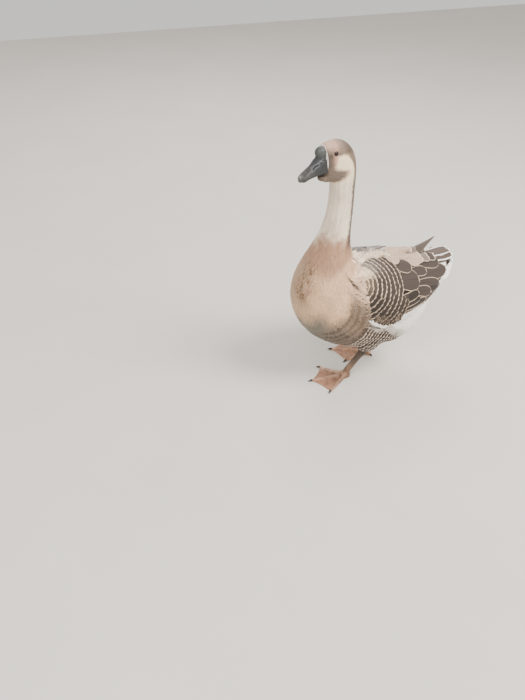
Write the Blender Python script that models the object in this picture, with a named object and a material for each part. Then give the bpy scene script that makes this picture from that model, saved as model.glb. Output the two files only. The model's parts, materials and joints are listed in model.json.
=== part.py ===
"""A knobbed brown domestic goose, standing, at life size.

Metres, +Z up. The bird faces -Y, its left side is +X, and it stands on Z = 0.
Head, neck, trunk and tail are one loft through cross-sections, parted by thin
cuts. Folded wings, thighs, eyes and the bill's knob are let into it.
"""
import math

import bmesh
import bpy
import numpy as np
from mathutils import Matrix, Vector

# ---- driving dimensions -------------------------------------------------
GAP = 0.0003                    # clearance between neighbouring parts
BODY_SIDES = 22                 # points round a cross-section of the body
TUBE_SIDES = 12                 # points round a shank or thigh
TO_ORIGIN = Vector((0.0002, -0.02795, 0))   # puts the outline's middle at 0, 0

HEAD_YAW = math.radians(15)     # head turned to the bird's left
NECK_AXIS_Y = -0.072            # upright axis that the head turns about
BILL_PITCH = math.radians(17)   # bill pointing below the horizontal

# Cross-sections from the tail's tip to the bill's base: name, dorsal (y, z),
# ventral (y, z), half width, and where the widest line lies between them
# (0 at the dorsal point, 1 at the ventral point).
SECTIONS = [
    ("tail_tip", (0.252, 0.2785), (0.252, 0.2760), 0.028, 0.50),
    ("tail_fan", (0.240, 0.2770), (0.240, 0.2720), 0.047, 0.50),
    ("tail_base", (0.223, 0.2720), (0.225, 0.2450), 0.045, 0.50),
    ("rump_end", (0.204, 0.2690), (0.208, 0.2060), 0.046, 0.50),
    ("vent", (0.178, 0.278), (0.184, 0.156), 0.062, 0.50),
    ("rump", (0.130, 0.292), (0.136, 0.096), 0.090, 0.57),
    ("loin", (0.070, 0.305), (0.072, 0.072), 0.105, 0.59),
    ("back", (0.005, 0.315), (0.000, 0.076), 0.109, 0.56),
    ("shoulder", (-0.022, 0.324), (-0.075, 0.095), 0.106, 0.54),
    ("breast_low", (-0.032, 0.334), (-0.138, 0.139), 0.098, 0.56),
    ("breast", (-0.037, 0.346), (-0.171, 0.206), 0.085, 0.56),
    ("crop", (-0.040, 0.360), (-0.164, 0.275), 0.066, 0.54),
    ("neck_base", (-0.041, 0.380), (-0.133, 0.340), 0.048, 0.52),
    ("neck_low", (-0.040, 0.412), (-0.107, 0.402), 0.0345, 0.50),
    ("neck_mid", (-0.038, 0.456), (-0.097, 0.455), 0.0290, 0.50),
    ("neck_top", (-0.038, 0.502), (-0.096, 0.499), 0.0280, 0.50),
    ("throat", (-0.038, 0.545), (-0.103, 0.514), 0.0270, 0.45),
    ("occiput", (-0.048, 0.580), (-0.116, 0.516), 0.0275, 0.46),
    ("crown", (-0.077, 0.605), (-0.125, 0.519), 0.0265, 0.45),
    ("brow", (-0.111, 0.610), (-0.127, 0.526), 0.0240, 0.46),
    ("face", (-0.137, 0.604), (-0.129, 0.532), 0.0190, 0.48),
]

# Folded wing from the wrist to the tip: y, height of the arc's centre,
# sideways and upright radius, the arc's first and last angle from upright
# in degrees, and the thickness.
WING = [
    (-0.082, 0.216, 0.099, 0.098, 60, 84, 0.008),
    (-0.058, 0.214, 0.112, 0.107, 41, 99, 0.018),
    (-0.010, 0.208, 0.122, 0.113, 18, 108, 0.022),
    (0.060, 0.206, 0.119, 0.105, 9, 104, 0.020),
    (0.120, 0.208, 0.103, 0.092, 6, 98, 0.016),
    (0.165, 0.212, 0.083, 0.080, 8, 92, 0.012),
    (0.203, 0.220, 0.062, 0.065, 16, 85, 0.008),
    (0.234, 0.229, 0.045, 0.050, 34, 74, 0.004),
]
WING_CUT = 4.7                  # place along it where the feather tips begin
WING_ROWS = 15
TIP_ROWS = 6
WING_COLUMNS = 9

RAISED_ROOT = Vector((-0.008, 0.160, 0.288))
RAISED_REACH = Vector((0.004, 0.052, 0.038))
RAISED_HALF_WIDTH = 0.0140
RAISED_ROWS = 8

EYE_RADIUS = 0.0058
EYE_BEHIND = 0.0240             # behind the bill's base
EYE_UP = 0.0110                 # above the bill's axis
EYE_SIDE = 0.0226               # of the head's side there
EYE_ROWS = 7
EYE_DEPTH = 0.62                # how deep it sits, as a share of its radius

BILL_LENGTH = 0.0715
BILL_SIDES = 18                 # points round a mandible
KNOB_RADII = (0.0125, 0.0145, 0.0135)
KNOB_UP = 0.0220                # its centre over the bill's axis

# Each leg: foot's base, the foot's turn to the bird's left in degrees, hock
LEGS = {
    "left": ((0.0385, -0.0375), -7, (0.043, 0.012, 0.074)),
    "right": ((-0.0330, 0.0660), -33, (-0.041, 0.094, 0.084)),
}
SOLE_TO_SHANK = 0.013           # height where the shank meets the foot
TOES = (                        # turn from the middle toe, length, half width
    (-45, 0.070, 0.0054),
    (0, 0.090, 0.0058),
    (42, 0.084, 0.0054),
    (-140, 0.017, 0.0042),      # hind toe
)
TOE_TAPER = 0.42                # of its width, lost along a toe
TOE_HEIGHT = 0.0105
CLAW = (0.009, 0.0024)          # length and half width
WEB_THICKNESS = 0.0024
WEB_DRAWN_IN = 0.03             # of the web's edge between two toes
PAD_RADIUS = 0.0125             # of the foot below the shank
SEAT_RADIUS = 0.0106            # flat top of the pad, that the shank meets
PAD_FALL = 0.009                # how far out the pad has sunk to the toes


# ---- helpers ------------------------------------------------------------
def clear_scene():
    for obj in list(bpy.data.objects):
        bpy.data.objects.remove(obj, do_unlink=True)


def collection(name):
    made = bpy.data.collections.new(name)
    bpy.context.scene.collection.children.link(made)
    return made


def material(name, colour, roughness, metallic=0.0):
    made = bpy.data.materials.new(name)
    made.use_nodes = True
    shader = made.node_tree.nodes["Principled BSDF"]
    shader.inputs["Base Color"].default_value = (*colour, 1.0)
    shader.inputs["Roughness"].default_value = roughness
    shader.inputs["Metallic"].default_value = metallic
    return made


def natural_spline(values, t):
    """Natural cubic spline through rows of values at t = 0, 1, 2 ..."""
    n = len(values)
    rows = np.eye(n)
    rhs = np.zeros((n, values.shape[1]))
    for i in range(1, n - 1):
        rows[i, i - 1:i + 2] = (1, 4, 1)
        rhs[i] = 6 * (values[i + 1] - 2 * values[i] + values[i - 1])
    bend = np.linalg.solve(rows, rhs)
    i = int(np.clip(math.floor(t), 0, n - 2))
    b = t - i
    a = 1 - b
    return (a * values[i] + b * values[i + 1]
            + ((a**3 - a) * bend[i] + (b**3 - b) * bend[i + 1]) / 6)


def loft(name, rings, group, look):
    """Closed solid through rings of equally many points, with flat ends."""
    bm = bmesh.new()
    grid = [[bm.verts.new(p) for p in ring] for ring in rings]
    n = len(rings[0])
    for near, far in zip(grid, grid[1:]):
        for k in range(n):
            bm.faces.new((near[k], near[(k + 1) % n], far[(k + 1) % n]))
            bm.faces.new((near[k], far[(k + 1) % n], far[k]))
    bm.faces.new(grid[0][::-1])
    bm.faces.new(grid[-1])
    bmesh.ops.recalc_face_normals(bm, faces=bm.faces)
    return mesh_object(name, bm, group, look)


def mesh_object(name, bm, group, look=None):
    bmesh.ops.translate(bm, verts=bm.verts, vec=TO_ORIGIN)
    mesh = bpy.data.meshes.new(name)
    bm.to_mesh(mesh)
    bm.free()
    if look:
        mesh.materials.append(look)
    mesh.shade_smooth()
    mesh.set_sharp_from_angle(angle=math.radians(50))
    obj = bpy.data.objects.new(name, mesh)
    group.objects.link(obj)
    if look is None:
        obj.hide_render = True
        obj.display_type = "WIRE"
    return obj


def boolean(obj, other, operation):
    modifier = obj.modifiers.new(f"{operation.lower()}_{other.name}", "BOOLEAN")
    modifier.operation = operation
    modifier.solver = "EXACT"
    modifier.object = other


def sphere(name, radii, place, turn, group, look=None, grow=0.0, rows=9):
    bm = bmesh.new()
    bmesh.ops.create_uvsphere(bm, u_segments=rows * 3 // 2, v_segments=rows, radius=1.0)
    size = Matrix.Diagonal([r + grow for r in radii]).to_4x4()
    bm.transform(Matrix.Translation(place) @ turn.to_4x4() @ size)
    return mesh_object(name, bm, group, look)


# ---- body ---------------------------------------------------------------
BODY = np.array([(*dorsal, *ventral, half, widest)
                 for _, dorsal, ventral, half, widest in SECTIONS])
PLACE = {name: float(i) for i, (name, *_) in enumerate(SECTIONS)}


def turn_with_head(x, y, z, share):
    yaw = HEAD_YAW * share
    y -= NECK_AXIS_Y
    return Vector((x * math.cos(yaw) - y * math.sin(yaw),
                   x * math.sin(yaw) + y * math.cos(yaw) + NECK_AXIS_Y, z))


def body_ring(t):
    """Points of the body's cross-section at place t, from the dorsal point."""
    dy, dz, vy, vz, half, widest = natural_spline(BODY, t)
    share = min(max((t - PLACE["neck_top"]) / 3, 0), 1)
    ring = []
    for k in range(BODY_SIDES):
        phi = 2 * math.pi * k / BODY_SIDES
        c = math.cos(phi)
        reach = widest if c > 0 else 1 - widest
        along = widest - reach * c
        ring.append(turn_with_head(half * math.sin(phi), dy + (vy - dy) * along,
                                   dz + (vz - dz) * along, share))
    return ring


def body_length(name, start, end, rows, group, look):
    """The body between two named sections, less half a gap at each end."""
    first = PLACE[start]
    last = PLACE[end]
    rings = [body_ring(t) for t in np.linspace(first, last, rows)]
    for ring, inner in ((rings[0], rings[1]), (rings[-1], rings[-2])):
        middle = sum(ring, Vector()) / len(ring)
        inward = (sum(inner, Vector()) / len(inner) - middle).normalized()
        for point in ring:
            point += inward * GAP / 2
    return loft(name, rings, group, look)


# ---- wings --------------------------------------------------------------
WING_VALUES = np.array(WING, dtype=float)


def wing_ring(t, side, grow):
    """Lens-shaped section of the folded wing, bent round the body."""
    y, height, wide, tall, first, last, thick = natural_spline(WING_VALUES, t)
    top = math.radians(first)
    low = math.radians(last)
    outer = []
    inner = []
    for k in range(WING_COLUMNS + 1):
        share = k / WING_COLUMNS
        angle = top + (low - top) * share
        if k == 0:
            angle -= grow / wide
        if k == WING_COLUMNS:
            angle += grow / wide
        lens = 0.12 + 0.88 * math.sqrt(1 - (2 * share - 1) ** 4)
        outer.append((grow, angle))
        inner.append((-thick * lens - grow, angle))
    return [Vector((side * (wide + offset) * math.sin(angle), y,
                    height + (tall + offset) * math.cos(angle)))
            for offset, angle in outer + inner[::-1]]


def wing_solid(name, side, places, group, look=None, grow=0.0):
    """The folded wing through some places along it, less half a gap at a cut."""
    rings = [wing_ring(t, side, grow) for t in places]
    for ring, push in ((rings[0], -grow if places[0] == 0 else GAP / 2),
                       (rings[-1], grow if places[-1] > WING_CUT else -GAP / 2)):
        for point in ring:
            point.y += push
    return loft(name, rings, group, look)


def wing(side, sign, group, cutters, look, bodies):
    arm = list(np.linspace(0, WING_CUT, WING_ROWS))
    tip = list(np.linspace(WING_CUT, len(WING) - 1, TIP_ROWS))
    wing_solid(f"wing_{side}", sign, arm, group, look)
    wing_solid(f"wing_tip_{side}", sign, tip, group, look)
    cut = wing_solid(f"wing_{side}_cut", sign, arm + tip[1:], cutters, None, GAP)
    for body in bodies:
        boolean(body, cut, "DIFFERENCE")
    return cut


def raised_feather(group, look, cuts):
    """One long inner wing feather that stands up over the tail."""
    facing = Vector((0, -0.4, 0.9)).normalized()
    rings = []
    for share in np.linspace(0, 1, RAISED_ROWS):
        centre = RAISED_ROOT + Vector((RAISED_REACH.x * share, RAISED_REACH.y * share,
                                       RAISED_REACH.z * share ** 1.4))
        half = RAISED_HALF_WIDTH * math.sqrt(1 - share ** 2 * 0.985) + 0.0004
        thick = 0.0011 - 0.0005 * share
        rings.append(tube_ring(centre, Vector((1, 0, 0)), facing, half, thick))
    blade = loft("raised_feather", rings, group, look)
    for cut in cuts:
        boolean(blade, cut, "DIFFERENCE")


# ---- head ---------------------------------------------------------------
def bill_frame():
    """The bill's base centre, its forward, left and up, and the way the face looks."""
    ring = body_ring(PLACE["face"])
    crown = ring[0]
    chin = ring[BODY_SIDES // 2]
    left = Vector((math.cos(HEAD_YAW), math.sin(HEAD_YAW), 0))
    level = left.cross(Vector((0, 0, 1)))
    forward = level * math.cos(BILL_PITCH) - Vector((0, 0, math.sin(BILL_PITCH)))
    facing = left.cross(crown - chin).normalized()
    return (crown + chin) / 2, forward, left, forward.cross(left), facing


def bill_ring(share, frame, upper):
    """Section of a mandible, arched and flat at the lips.

    The first section lies against the face.
    """
    centre, forward, left, up, facing = frame
    blunt = 1 - max(share - 0.84, 0) ** 2 / 0.16 ** 2 * 0.80
    half = (0.0180 - 0.0048 * math.sin(math.pi * share * 0.62)) * blunt
    lip = -0.0110 - 0.0110 * (1 - share) ** 2 - 0.003 * share ** 8
    if upper:
        arch = 0.0270 * (1 - share) ** 2.1 + 0.0010 - 0.005 * share ** 8 - lip
    else:
        lip -= GAP
        half *= 0.90
        arch = -0.0030 - 0.0020 * (1 - share)
    ring = []
    for k in range(BILL_SIDES):
        phi = 2 * math.pi * k / BILL_SIDES
        rise = max(math.cos(phi), 0) ** 0.75
        point = left * half * math.sin(phi) + up * (lip + arch * rise)
        to_face = (GAP - point.dot(facing)) / forward.dot(facing)
        reach = BILL_LENGTH * share + to_face * (1 - share) ** 1.5
        ring.append(centre + point + forward * reach)
    return ring


def head_parts(group, cutters, looks, head):
    frame = bill_frame()
    centre, forward, left, up, _ = frame
    turn = Matrix((left, -forward, up)).transposed()
    shares = [0, 0.08, 0.2, 0.34, 0.5, 0.66, 0.8, 0.9, 0.96, 1.0]
    upper = loft("bill_upper", [bill_ring(s, frame, True) for s in shares],
                 group, looks["bill"])
    loft("bill_lower", [bill_ring(s * 0.93, frame, False) for s in shares],
         group, looks["bill"])
    knob_at = centre + up * KNOB_UP
    sphere("knob", KNOB_RADII, knob_at, turn, group, looks["bill"])
    knob_cut = sphere("knob_cut", KNOB_RADII, knob_at, turn, cutters, None, GAP)
    boolean(upper, knob_cut, "DIFFERENCE")
    boolean(head, knob_cut, "DIFFERENCE")
    for side, name in ((1, "left"), (-1, "right")):
        place = (centre - forward * EYE_BEHIND + up * EYE_UP
                 + left * side * (EYE_SIDE - EYE_RADIUS * EYE_DEPTH))
        radii = (EYE_RADIUS,) * 3
        sphere(f"eye_{name}", radii, place, turn, group, looks["eye"], 0, EYE_ROWS)
        eye_cut = sphere(f"eye_{name}_cut", radii, place, turn, cutters, None, GAP,
                         EYE_ROWS)
        boolean(head, eye_cut, "DIFFERENCE")


# ---- legs ---------------------------------------------------------------
def tube_ring(centre, across, along, wide, deep):
    return [centre + across * wide * math.sin(2 * math.pi * k / TUBE_SIDES)
            + along * deep * math.cos(2 * math.pi * k / TUBE_SIDES)
            for k in range(TUBE_SIDES)]


def shank_solid(name, side, group, look=None, grow=0.0):
    """Scaled lower leg from the foot's base up to the hock."""
    (x, y), turn, hock = LEGS[side]
    low = Vector((x, y, SOLE_TO_SHANK))
    top = Vector(hock)
    lift = (top - low).normalized()
    across = Vector((1, 0, 0))
    back = across.cross(lift)
    rings = []
    for share, wide, deep in ((0, 0.0078, 0.0100), (0.12, 0.0068, 0.0094),
                              (0.35, 0.0062, 0.0086), (0.65, 0.0066, 0.0090),
                              (0.84, 0.0082, 0.0112), (0.95, 0.0088, 0.0118),
                              (1.05, 0.0074, 0.0100), (1.12, 0.0044, 0.0060)):
        centre = low + (top - low) * share
        rings.append(tube_ring(centre, across, back, wide + grow, deep + grow))
    for point in rings[0]:
        point.z = SOLE_TO_SHANK
    return loft(name, rings, group, look)


def thigh_solid(name, side, group, look=None, grow=0.0):
    """Feathered upper leg, from inside the belly down to the hock."""
    sign = 1 if side == "left" else -1
    low = Vector(LEGS[side][2]) - Vector((0, 0, 0.006))
    top = Vector((sign * 0.060, low.y - 0.004, 0.150))
    rings = []
    for share, wide, deep in ((0, 0.0125, 0.0155), (0.10, 0.0185, 0.0235),
                              (0.28, 0.0270, 0.0350), (0.55, 0.0350, 0.0470),
                              (0.85, 0.0330, 0.0460), (1.0, 0.0230, 0.0340)):
        centre = low + (top - low) * share
        rings.append(tube_ring(centre, Vector((1, 0, 0)), Vector((0, 1, 0)),
                               wide + grow, deep + grow))
    return loft(name, rings, group, look)


def foot_outline(angle, toes):
    """How far the foot reaches from its base at an angle."""
    far = PAD_RADIUS
    for heading, length, half in toes:
        off = abs(math.remainder(angle - heading, 2 * math.pi))
        if off < math.pi / 2:
            strip = half / (math.sin(off) + half * TOE_TAPER / length)
            claw = CLAW[1] * (1 + length / CLAW[0]) / (math.sin(off) + CLAW[1] / CLAW[0])
            far = max(far, min(strip, length), claw if claw > length else 0)
    for (first, near, _), (last, next_to, _) in zip(toes, toes[1:3]):
        share = (angle - first) / (last - first)
        if 0 < share < 1:
            spread = abs(last - first)
            chord = near * next_to * math.sin(spread) / (
                near * math.sin(share * spread) + next_to * math.sin((1 - share) * spread))
            far = max(far, chord * (0.985 - WEB_DRAWN_IN * math.sin(math.pi * share)))
    return far


def foot_height(angle, distance, toes):
    """Height of the foot's top: web, ridges of the toes, pad."""
    top = SOLE_TO_SHANK - GAP
    fall = min(max((distance - SEAT_RADIUS) / PAD_FALL, 0), 1)
    height = WEB_THICKNESS + (top - WEB_THICKNESS) * (1 - fall) ** 1.5
    for heading, length, half in toes:
        off = math.remainder(angle - heading, 2 * math.pi)
        along = distance * math.cos(off) / length
        if along > 0:
            wide = half * (1 - TOE_TAPER * min(along, 1))
            crest = 1 - min((distance * math.sin(off) / wide) ** 2, 1)
            ridge = TOE_HEIGHT * (1 - 0.52 * along) * crest ** 0.5
            height = max(height, min(ridge, top))
    return height


def foot(side, group, look):
    """Webbed foot with its claws: a relief on a flat sole, drawn from its base."""
    (x, y), turn, _ = LEGS[side]
    sign = 1 if side == "left" else -1
    toes = [(math.radians(sign * angle), length, half) for angle, length, half in TOES]
    steps = set()
    for angle, _, _ in TOES[:3]:
        steps.update(angle + off for off in (-7, -3.6, -1.6, 0, 1.6, 3.6, 7))
    steps.update((-30, -22, -14, 14, 21, 28))
    steps.update((-158, -149, -140, -131, -122, -100, -75, -58, 58, 80, 105, 130, 155, 180))
    angles = [math.radians(sign * step) for step in sorted(steps, reverse=sign < 0)]
    rows = (0, 0.13, 0.32, 0.60, 0.88, 1.0)
    bm = bmesh.new()
    grid = []
    sole = []
    for angle in angles:
        ahead = Vector((math.sin(angle + math.radians(turn)),
                        -math.cos(angle + math.radians(turn)), 0))
        far = foot_outline(angle, toes)
        spoke = []
        for row in rows:
            distance = SEAT_RADIUS + (far - SEAT_RADIUS) * row
            place = Vector((x, y, 0)) + ahead * distance
            place.z = foot_height(angle, distance, toes)
            spoke.append(bm.verts.new(place))
        grid.append(spoke)
        sole.append(bm.verts.new((place.x, place.y, 0)))
    count = len(angles)
    for k in range(count):
        near = grid[k]
        far = grid[(k + 1) % count]
        for inner in range(len(rows) - 1):
            bm.faces.new((near[inner], near[inner + 1], far[inner + 1], far[inner]))
        bm.faces.new((near[-1], sole[k], sole[(k + 1) % count], far[-1]))
    bm.faces.new([spoke[0] for spoke in grid])
    bm.faces.new(sole)
    bmesh.ops.recalc_face_normals(bm, faces=bm.faces)
    return mesh_object(f"foot_{side}", bm, group, look)


def leg(side, group, cutters, looks, trunk):
    foot(side, group, looks["foot"])
    shank_solid(f"shank_{side}", side, group, looks["foot"])
    thigh = thigh_solid(f"thigh_{side}", side, group, looks["flank"])
    boolean(thigh, shank_solid(f"shank_{side}_cut", side, cutters, None, GAP),
            "DIFFERENCE")
    boolean(trunk, thigh_solid(f"thigh_{side}_cut", side, cutters, None, GAP),
            "DIFFERENCE")


def main():
    clear_scene()
    goose = collection("domestic_goose")
    cutters = collection("cutters")
    looks = {
        "plumage": material("cream_plumage", (0.58, 0.49, 0.40), 0.9),
        "flank": material("barred_plumage", (0.38, 0.31, 0.25), 0.9),
        "wing": material("brown_wing", (0.17, 0.13, 0.10), 0.85),
        "bill": material("slate_bill", (0.085, 0.095, 0.105), 0.45),
        "eye": material("dark_eye", (0.03, 0.015, 0.01), 0.08),
        "foot": material("orange_foot", (0.50, 0.24, 0.14), 0.6),
    }
    tail = body_length("tail", "tail_tip", "rump_end", 8, goose, looks["wing"])
    trunk = body_length("trunk", "rump_end", "neck_base", 21, goose, looks["plumage"])
    body_length("neck_lower", "neck_base", "neck_mid", 7, goose, looks["plumage"])
    body_length("neck_upper", "neck_mid", "neck_top", 5, goose, looks["plumage"])
    head = body_length("head", "neck_top", "face", 17, goose, looks["plumage"])
    head_parts(goose, cutters, looks, head)
    cuts = []
    for side, sign in (("left", 1), ("right", -1)):
        cuts.append(wing(side, sign, goose, cutters, looks["wing"], (trunk, tail)))
        leg(side, goose, cutters, looks, trunk)
    raised_feather(goose, looks["wing"], cuts)


main()
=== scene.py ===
"""Looks for the domestic goose: skin, plumage, bill, eyes, legs, floor, lights and camera.

Metres, +Z up. The bird faces -Y and its left side is +X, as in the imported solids.
"""
import json
import math

import bmesh
import bpy
import numpy as np
from mathutils import Matrix, Vector
from mathutils.bvhtree import BVHTree
from mathutils.kdtree import KDTree

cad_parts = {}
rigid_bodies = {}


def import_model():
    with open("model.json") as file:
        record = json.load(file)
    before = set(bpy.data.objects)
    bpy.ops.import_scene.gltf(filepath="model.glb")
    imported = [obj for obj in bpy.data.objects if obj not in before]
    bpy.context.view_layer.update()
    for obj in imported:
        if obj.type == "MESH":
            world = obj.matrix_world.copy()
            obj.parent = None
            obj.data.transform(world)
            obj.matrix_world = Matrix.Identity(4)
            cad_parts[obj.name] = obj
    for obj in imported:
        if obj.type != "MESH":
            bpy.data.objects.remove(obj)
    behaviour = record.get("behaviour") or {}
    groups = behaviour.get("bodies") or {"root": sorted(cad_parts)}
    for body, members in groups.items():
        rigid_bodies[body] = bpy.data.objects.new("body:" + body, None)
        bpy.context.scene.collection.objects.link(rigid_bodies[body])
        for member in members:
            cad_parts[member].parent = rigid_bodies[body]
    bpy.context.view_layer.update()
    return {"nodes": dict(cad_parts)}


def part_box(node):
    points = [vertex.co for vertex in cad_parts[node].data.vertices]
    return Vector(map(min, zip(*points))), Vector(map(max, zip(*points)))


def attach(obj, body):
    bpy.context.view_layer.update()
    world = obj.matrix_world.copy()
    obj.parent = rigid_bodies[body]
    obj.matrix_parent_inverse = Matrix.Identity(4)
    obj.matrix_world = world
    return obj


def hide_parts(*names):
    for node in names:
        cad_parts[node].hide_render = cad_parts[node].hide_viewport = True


for leftover in list(bpy.data.objects):
    bpy.data.objects.remove(leftover)
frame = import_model()
NODES = frame["nodes"]
rng = np.random.default_rng(11)

# ---- the body's cross-sections, as in the solids -------------------------
SHIFT = np.array((0.0002, -0.02795, 0.0))
HEAD_YAW = math.radians(15)
NECK_AXIS_Y = -0.072
BILL_PITCH = math.radians(17)
# dorsal y, z, ventral y, z, half width, widest place; from the tail's tip to the face.
# t counts these rows: 7 is the middle of the trunk, 10 the breast, 12 the neck's foot, 20 the face.
SECTIONS = np.array([
    (0.252, 0.2785, 0.252, 0.2760, 0.028, 0.50),
    (0.240, 0.2770, 0.240, 0.2720, 0.047, 0.50),
    (0.223, 0.2720, 0.225, 0.2450, 0.045, 0.50),
    (0.204, 0.2690, 0.208, 0.2060, 0.046, 0.50),
    (0.178, 0.278, 0.184, 0.156, 0.062, 0.50),
    (0.130, 0.292, 0.136, 0.096, 0.090, 0.57),
    (0.070, 0.305, 0.072, 0.072, 0.105, 0.59),
    (0.005, 0.315, 0.000, 0.076, 0.109, 0.56),
    (-0.022, 0.324, -0.075, 0.095, 0.106, 0.54),
    (-0.032, 0.334, -0.138, 0.139, 0.098, 0.56),
    (-0.037, 0.346, -0.171, 0.206, 0.085, 0.56),
    (-0.040, 0.360, -0.164, 0.275, 0.066, 0.54),
    (-0.041, 0.380, -0.133, 0.340, 0.048, 0.52),
    (-0.040, 0.412, -0.107, 0.402, 0.0345, 0.50),
    (-0.038, 0.456, -0.097, 0.455, 0.0290, 0.50),
    (-0.038, 0.502, -0.096, 0.499, 0.0280, 0.50),
    (-0.038, 0.545, -0.103, 0.514, 0.0270, 0.45),
    (-0.048, 0.580, -0.116, 0.516, 0.0275, 0.46),
    (-0.077, 0.605, -0.125, 0.519, 0.0265, 0.45),
    (-0.111, 0.610, -0.127, 0.526, 0.0240, 0.46),
    (-0.137, 0.604, -0.129, 0.532, 0.0190, 0.48),
])
FACE, NECK_TOP = 20, 15             # rows of the bill's face and of the neck's top
# folded wing: y, arc's centre height, sideways and upright radius, first and last degree
WING = np.array([
    (-0.082, 0.216, 0.099, 0.098, 60, 84),
    (-0.058, 0.214, 0.112, 0.107, 41, 99),
    (-0.010, 0.208, 0.122, 0.113, 18, 108),
    (0.060, 0.206, 0.119, 0.105, 9, 104),
    (0.120, 0.208, 0.103, 0.092, 6, 98),
    (0.165, 0.212, 0.083, 0.080, 8, 92),
    (0.203, 0.220, 0.062, 0.065, 16, 85),
    (0.234, 0.229, 0.045, 0.050, 34, 74),
])
WING_AXIS_Z = 0.210
METRES_PER_DEGREE = 0.00194         # along the wing's arc


def linear(*srgb):
    """Linear colour of an 8-bit display colour."""
    c = np.array(srgb, float) / 255
    return np.where(c <= 0.04045, c / 12.92, ((c + 0.055) / 1.055) ** 2.4)


def ramp(x, low, high):
    """Smooth rise from 0 where x is low to 1 where it is high."""
    t = np.clip((np.asarray(x, float) - low) / (high - low), 0, 1)
    return t * t * (3 - 2 * t)


def bell(x, width):
    """1 where x is 0, falling off smoothly on both sides."""
    return np.exp(-(x / width) ** 2)


def mix(a, b, share):
    """Tones between a and b, by a share for each point."""
    share = np.asarray(share, float)[..., None]
    return a * (1 - share) + b * share


def painted(tone, *layers):
    """A tone with other tones laid over it in turn, each by its share."""
    for colour, share in layers:
        tone = mix(tone, colour, share)
    return tone


def wobble(p, scale, seed=0.0):
    """Smooth pseudo-random value from -1 to 1 at places p."""
    q = np.asarray(p, float) * scale + seed
    x, y, z = q[..., 0], q[..., 1], q[..., 2]
    value = (np.sin(1.7 * x + 0.6 * y + 2.1 * np.sin(0.9 * z + 1.3))
             + np.sin(1.9 * y - 0.7 * z + 1.8 * np.sin(1.1 * x + 0.4))
             + np.sin(1.6 * z + 0.8 * x + 2.3 * np.sin(0.8 * y + 2.2)))
    return value / 3


# ---- shape of the body ---------------------------------------------------
def spline_bend(values):
    """Second derivatives of natural cubic splines through the rows of values."""
    n = len(values)
    rows = np.eye(n)
    rhs = np.zeros((n, values.shape[1]))
    for i in range(1, n - 1):
        rows[i, i - 1:i + 2] = (1, 4, 1)
        rhs[i] = 6 * (values[i + 1] - 2 * values[i] + values[i - 1])
    return np.linalg.solve(rows, rhs)


SECTION_BEND = spline_bend(SECTIONS)


def body_point(t, phi):
    """Points of the body at places t along it and phi round it (0 dorsal, left first)."""
    t = np.asarray(t, float)
    i = np.clip(np.floor(t).astype(int), 0, len(SECTIONS) - 2)
    b = (t - i)[..., None]
    a = 1 - b
    row = (a * SECTIONS[i] + b * SECTIONS[i + 1]
           + ((a ** 3 - a) * SECTION_BEND[i] + (b ** 3 - b) * SECTION_BEND[i + 1]) / 6)
    dy, dz, vy, vz, half, widest = np.moveaxis(row, -1, 0)
    c = np.cos(phi)
    along = widest - np.where(c > 0, widest, 1 - widest) * c
    x = half * np.sin(phi)
    y = dy + (vy - dy) * along - NECK_AXIS_Y
    yaw = HEAD_YAW * np.clip((t - NECK_TOP) / 3, 0, 1)
    return np.stack((x * np.cos(yaw) - y * np.sin(yaw),
                     x * np.sin(yaw) + y * np.cos(yaw) + NECK_AXIS_Y,
                     dz + (vz - dz) * along), -1) + SHIFT


class BodyMap:
    """Finds the place along and round the body, and the plumage's lie, near a point."""

    def __init__(self, rows=241, columns=80):
        t = np.linspace(0, FACE, rows)
        phi = np.linspace(0, 2 * math.pi, columns, endpoint=False)
        t, phi = (grid.ravel() for grid in np.meshgrid(t, phi, indexing="ij"))
        self.t, self.phi = t, phi
        points = body_point(t, phi)
        lie = body_point(np.maximum(t - 0.15, 0), phi) - body_point(np.minimum(t + 0.15, FACE), phi)
        self.lie = lie / np.maximum(np.linalg.norm(lie, axis=1), 1e-9)[:, None]
        self.tree = KDTree(len(points))
        for k, point in enumerate(points.tolist()):
            self.tree.insert(point, k)
        self.tree.balance()

    def at(self, points):
        found = np.array([self.tree.find(p)[1] for p in np.asarray(points).tolist()], int)
        return self.t[found], self.phi[found], self.lie[found]


BODY = BodyMap()


def wing_row(y):
    """Height, radii and end angles of the folded wing's arc at y (shifted)."""
    return [np.interp(y - SHIFT[1], WING[:, 0], WING[:, k]) for k in range(1, 6)]


def chart_of(p):
    """Distance along and degrees from upright round the trunk's long axis."""
    return p[:, 1], np.degrees(np.arctan2(np.abs(p[:, 0]), p[:, 2] - WING_AXIS_Z))


def fan_of(p, centre):
    """Distance and direction in degrees (0 rearward, 90 down) from a centre on the side."""
    y, angle = chart_of(p)
    along, down = y - centre[0], (angle - centre[1]) * METRES_PER_DEGREE
    return np.hypot(along, down), np.degrees(np.arctan2(down, along))


def on_wing(p, reach=0.004, margin=0.0):
    """Whether points lie on a folded wing's outside."""
    y = p[:, 1]
    height, wide, tall, first, last = wing_row(y)
    sideways, upright = np.abs(p[:, 0]) / wide, (p[:, 2] - height) / tall
    angle, radius = np.degrees(np.arctan2(sideways, upright)), np.hypot(sideways, upright)
    inside = (angle > first + margin) & (angle < last - margin)
    inside &= (y - SHIFT[1] > WING[0, 0] + margin / 500) & (y - SHIFT[1] < WING[-1, 0])
    return inside & (np.abs(radius - 1) * wide < reach)


# ---- meshes --------------------------------------------------------------
def add_object(name, mesh):
    obj = bpy.data.objects.new(name, mesh)
    bpy.context.scene.collection.objects.link(obj)
    return obj


def mesh_from(bm, name):
    mesh = bpy.data.meshes.new(name)
    bm.to_mesh(mesh)
    bm.free()
    return mesh


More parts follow.
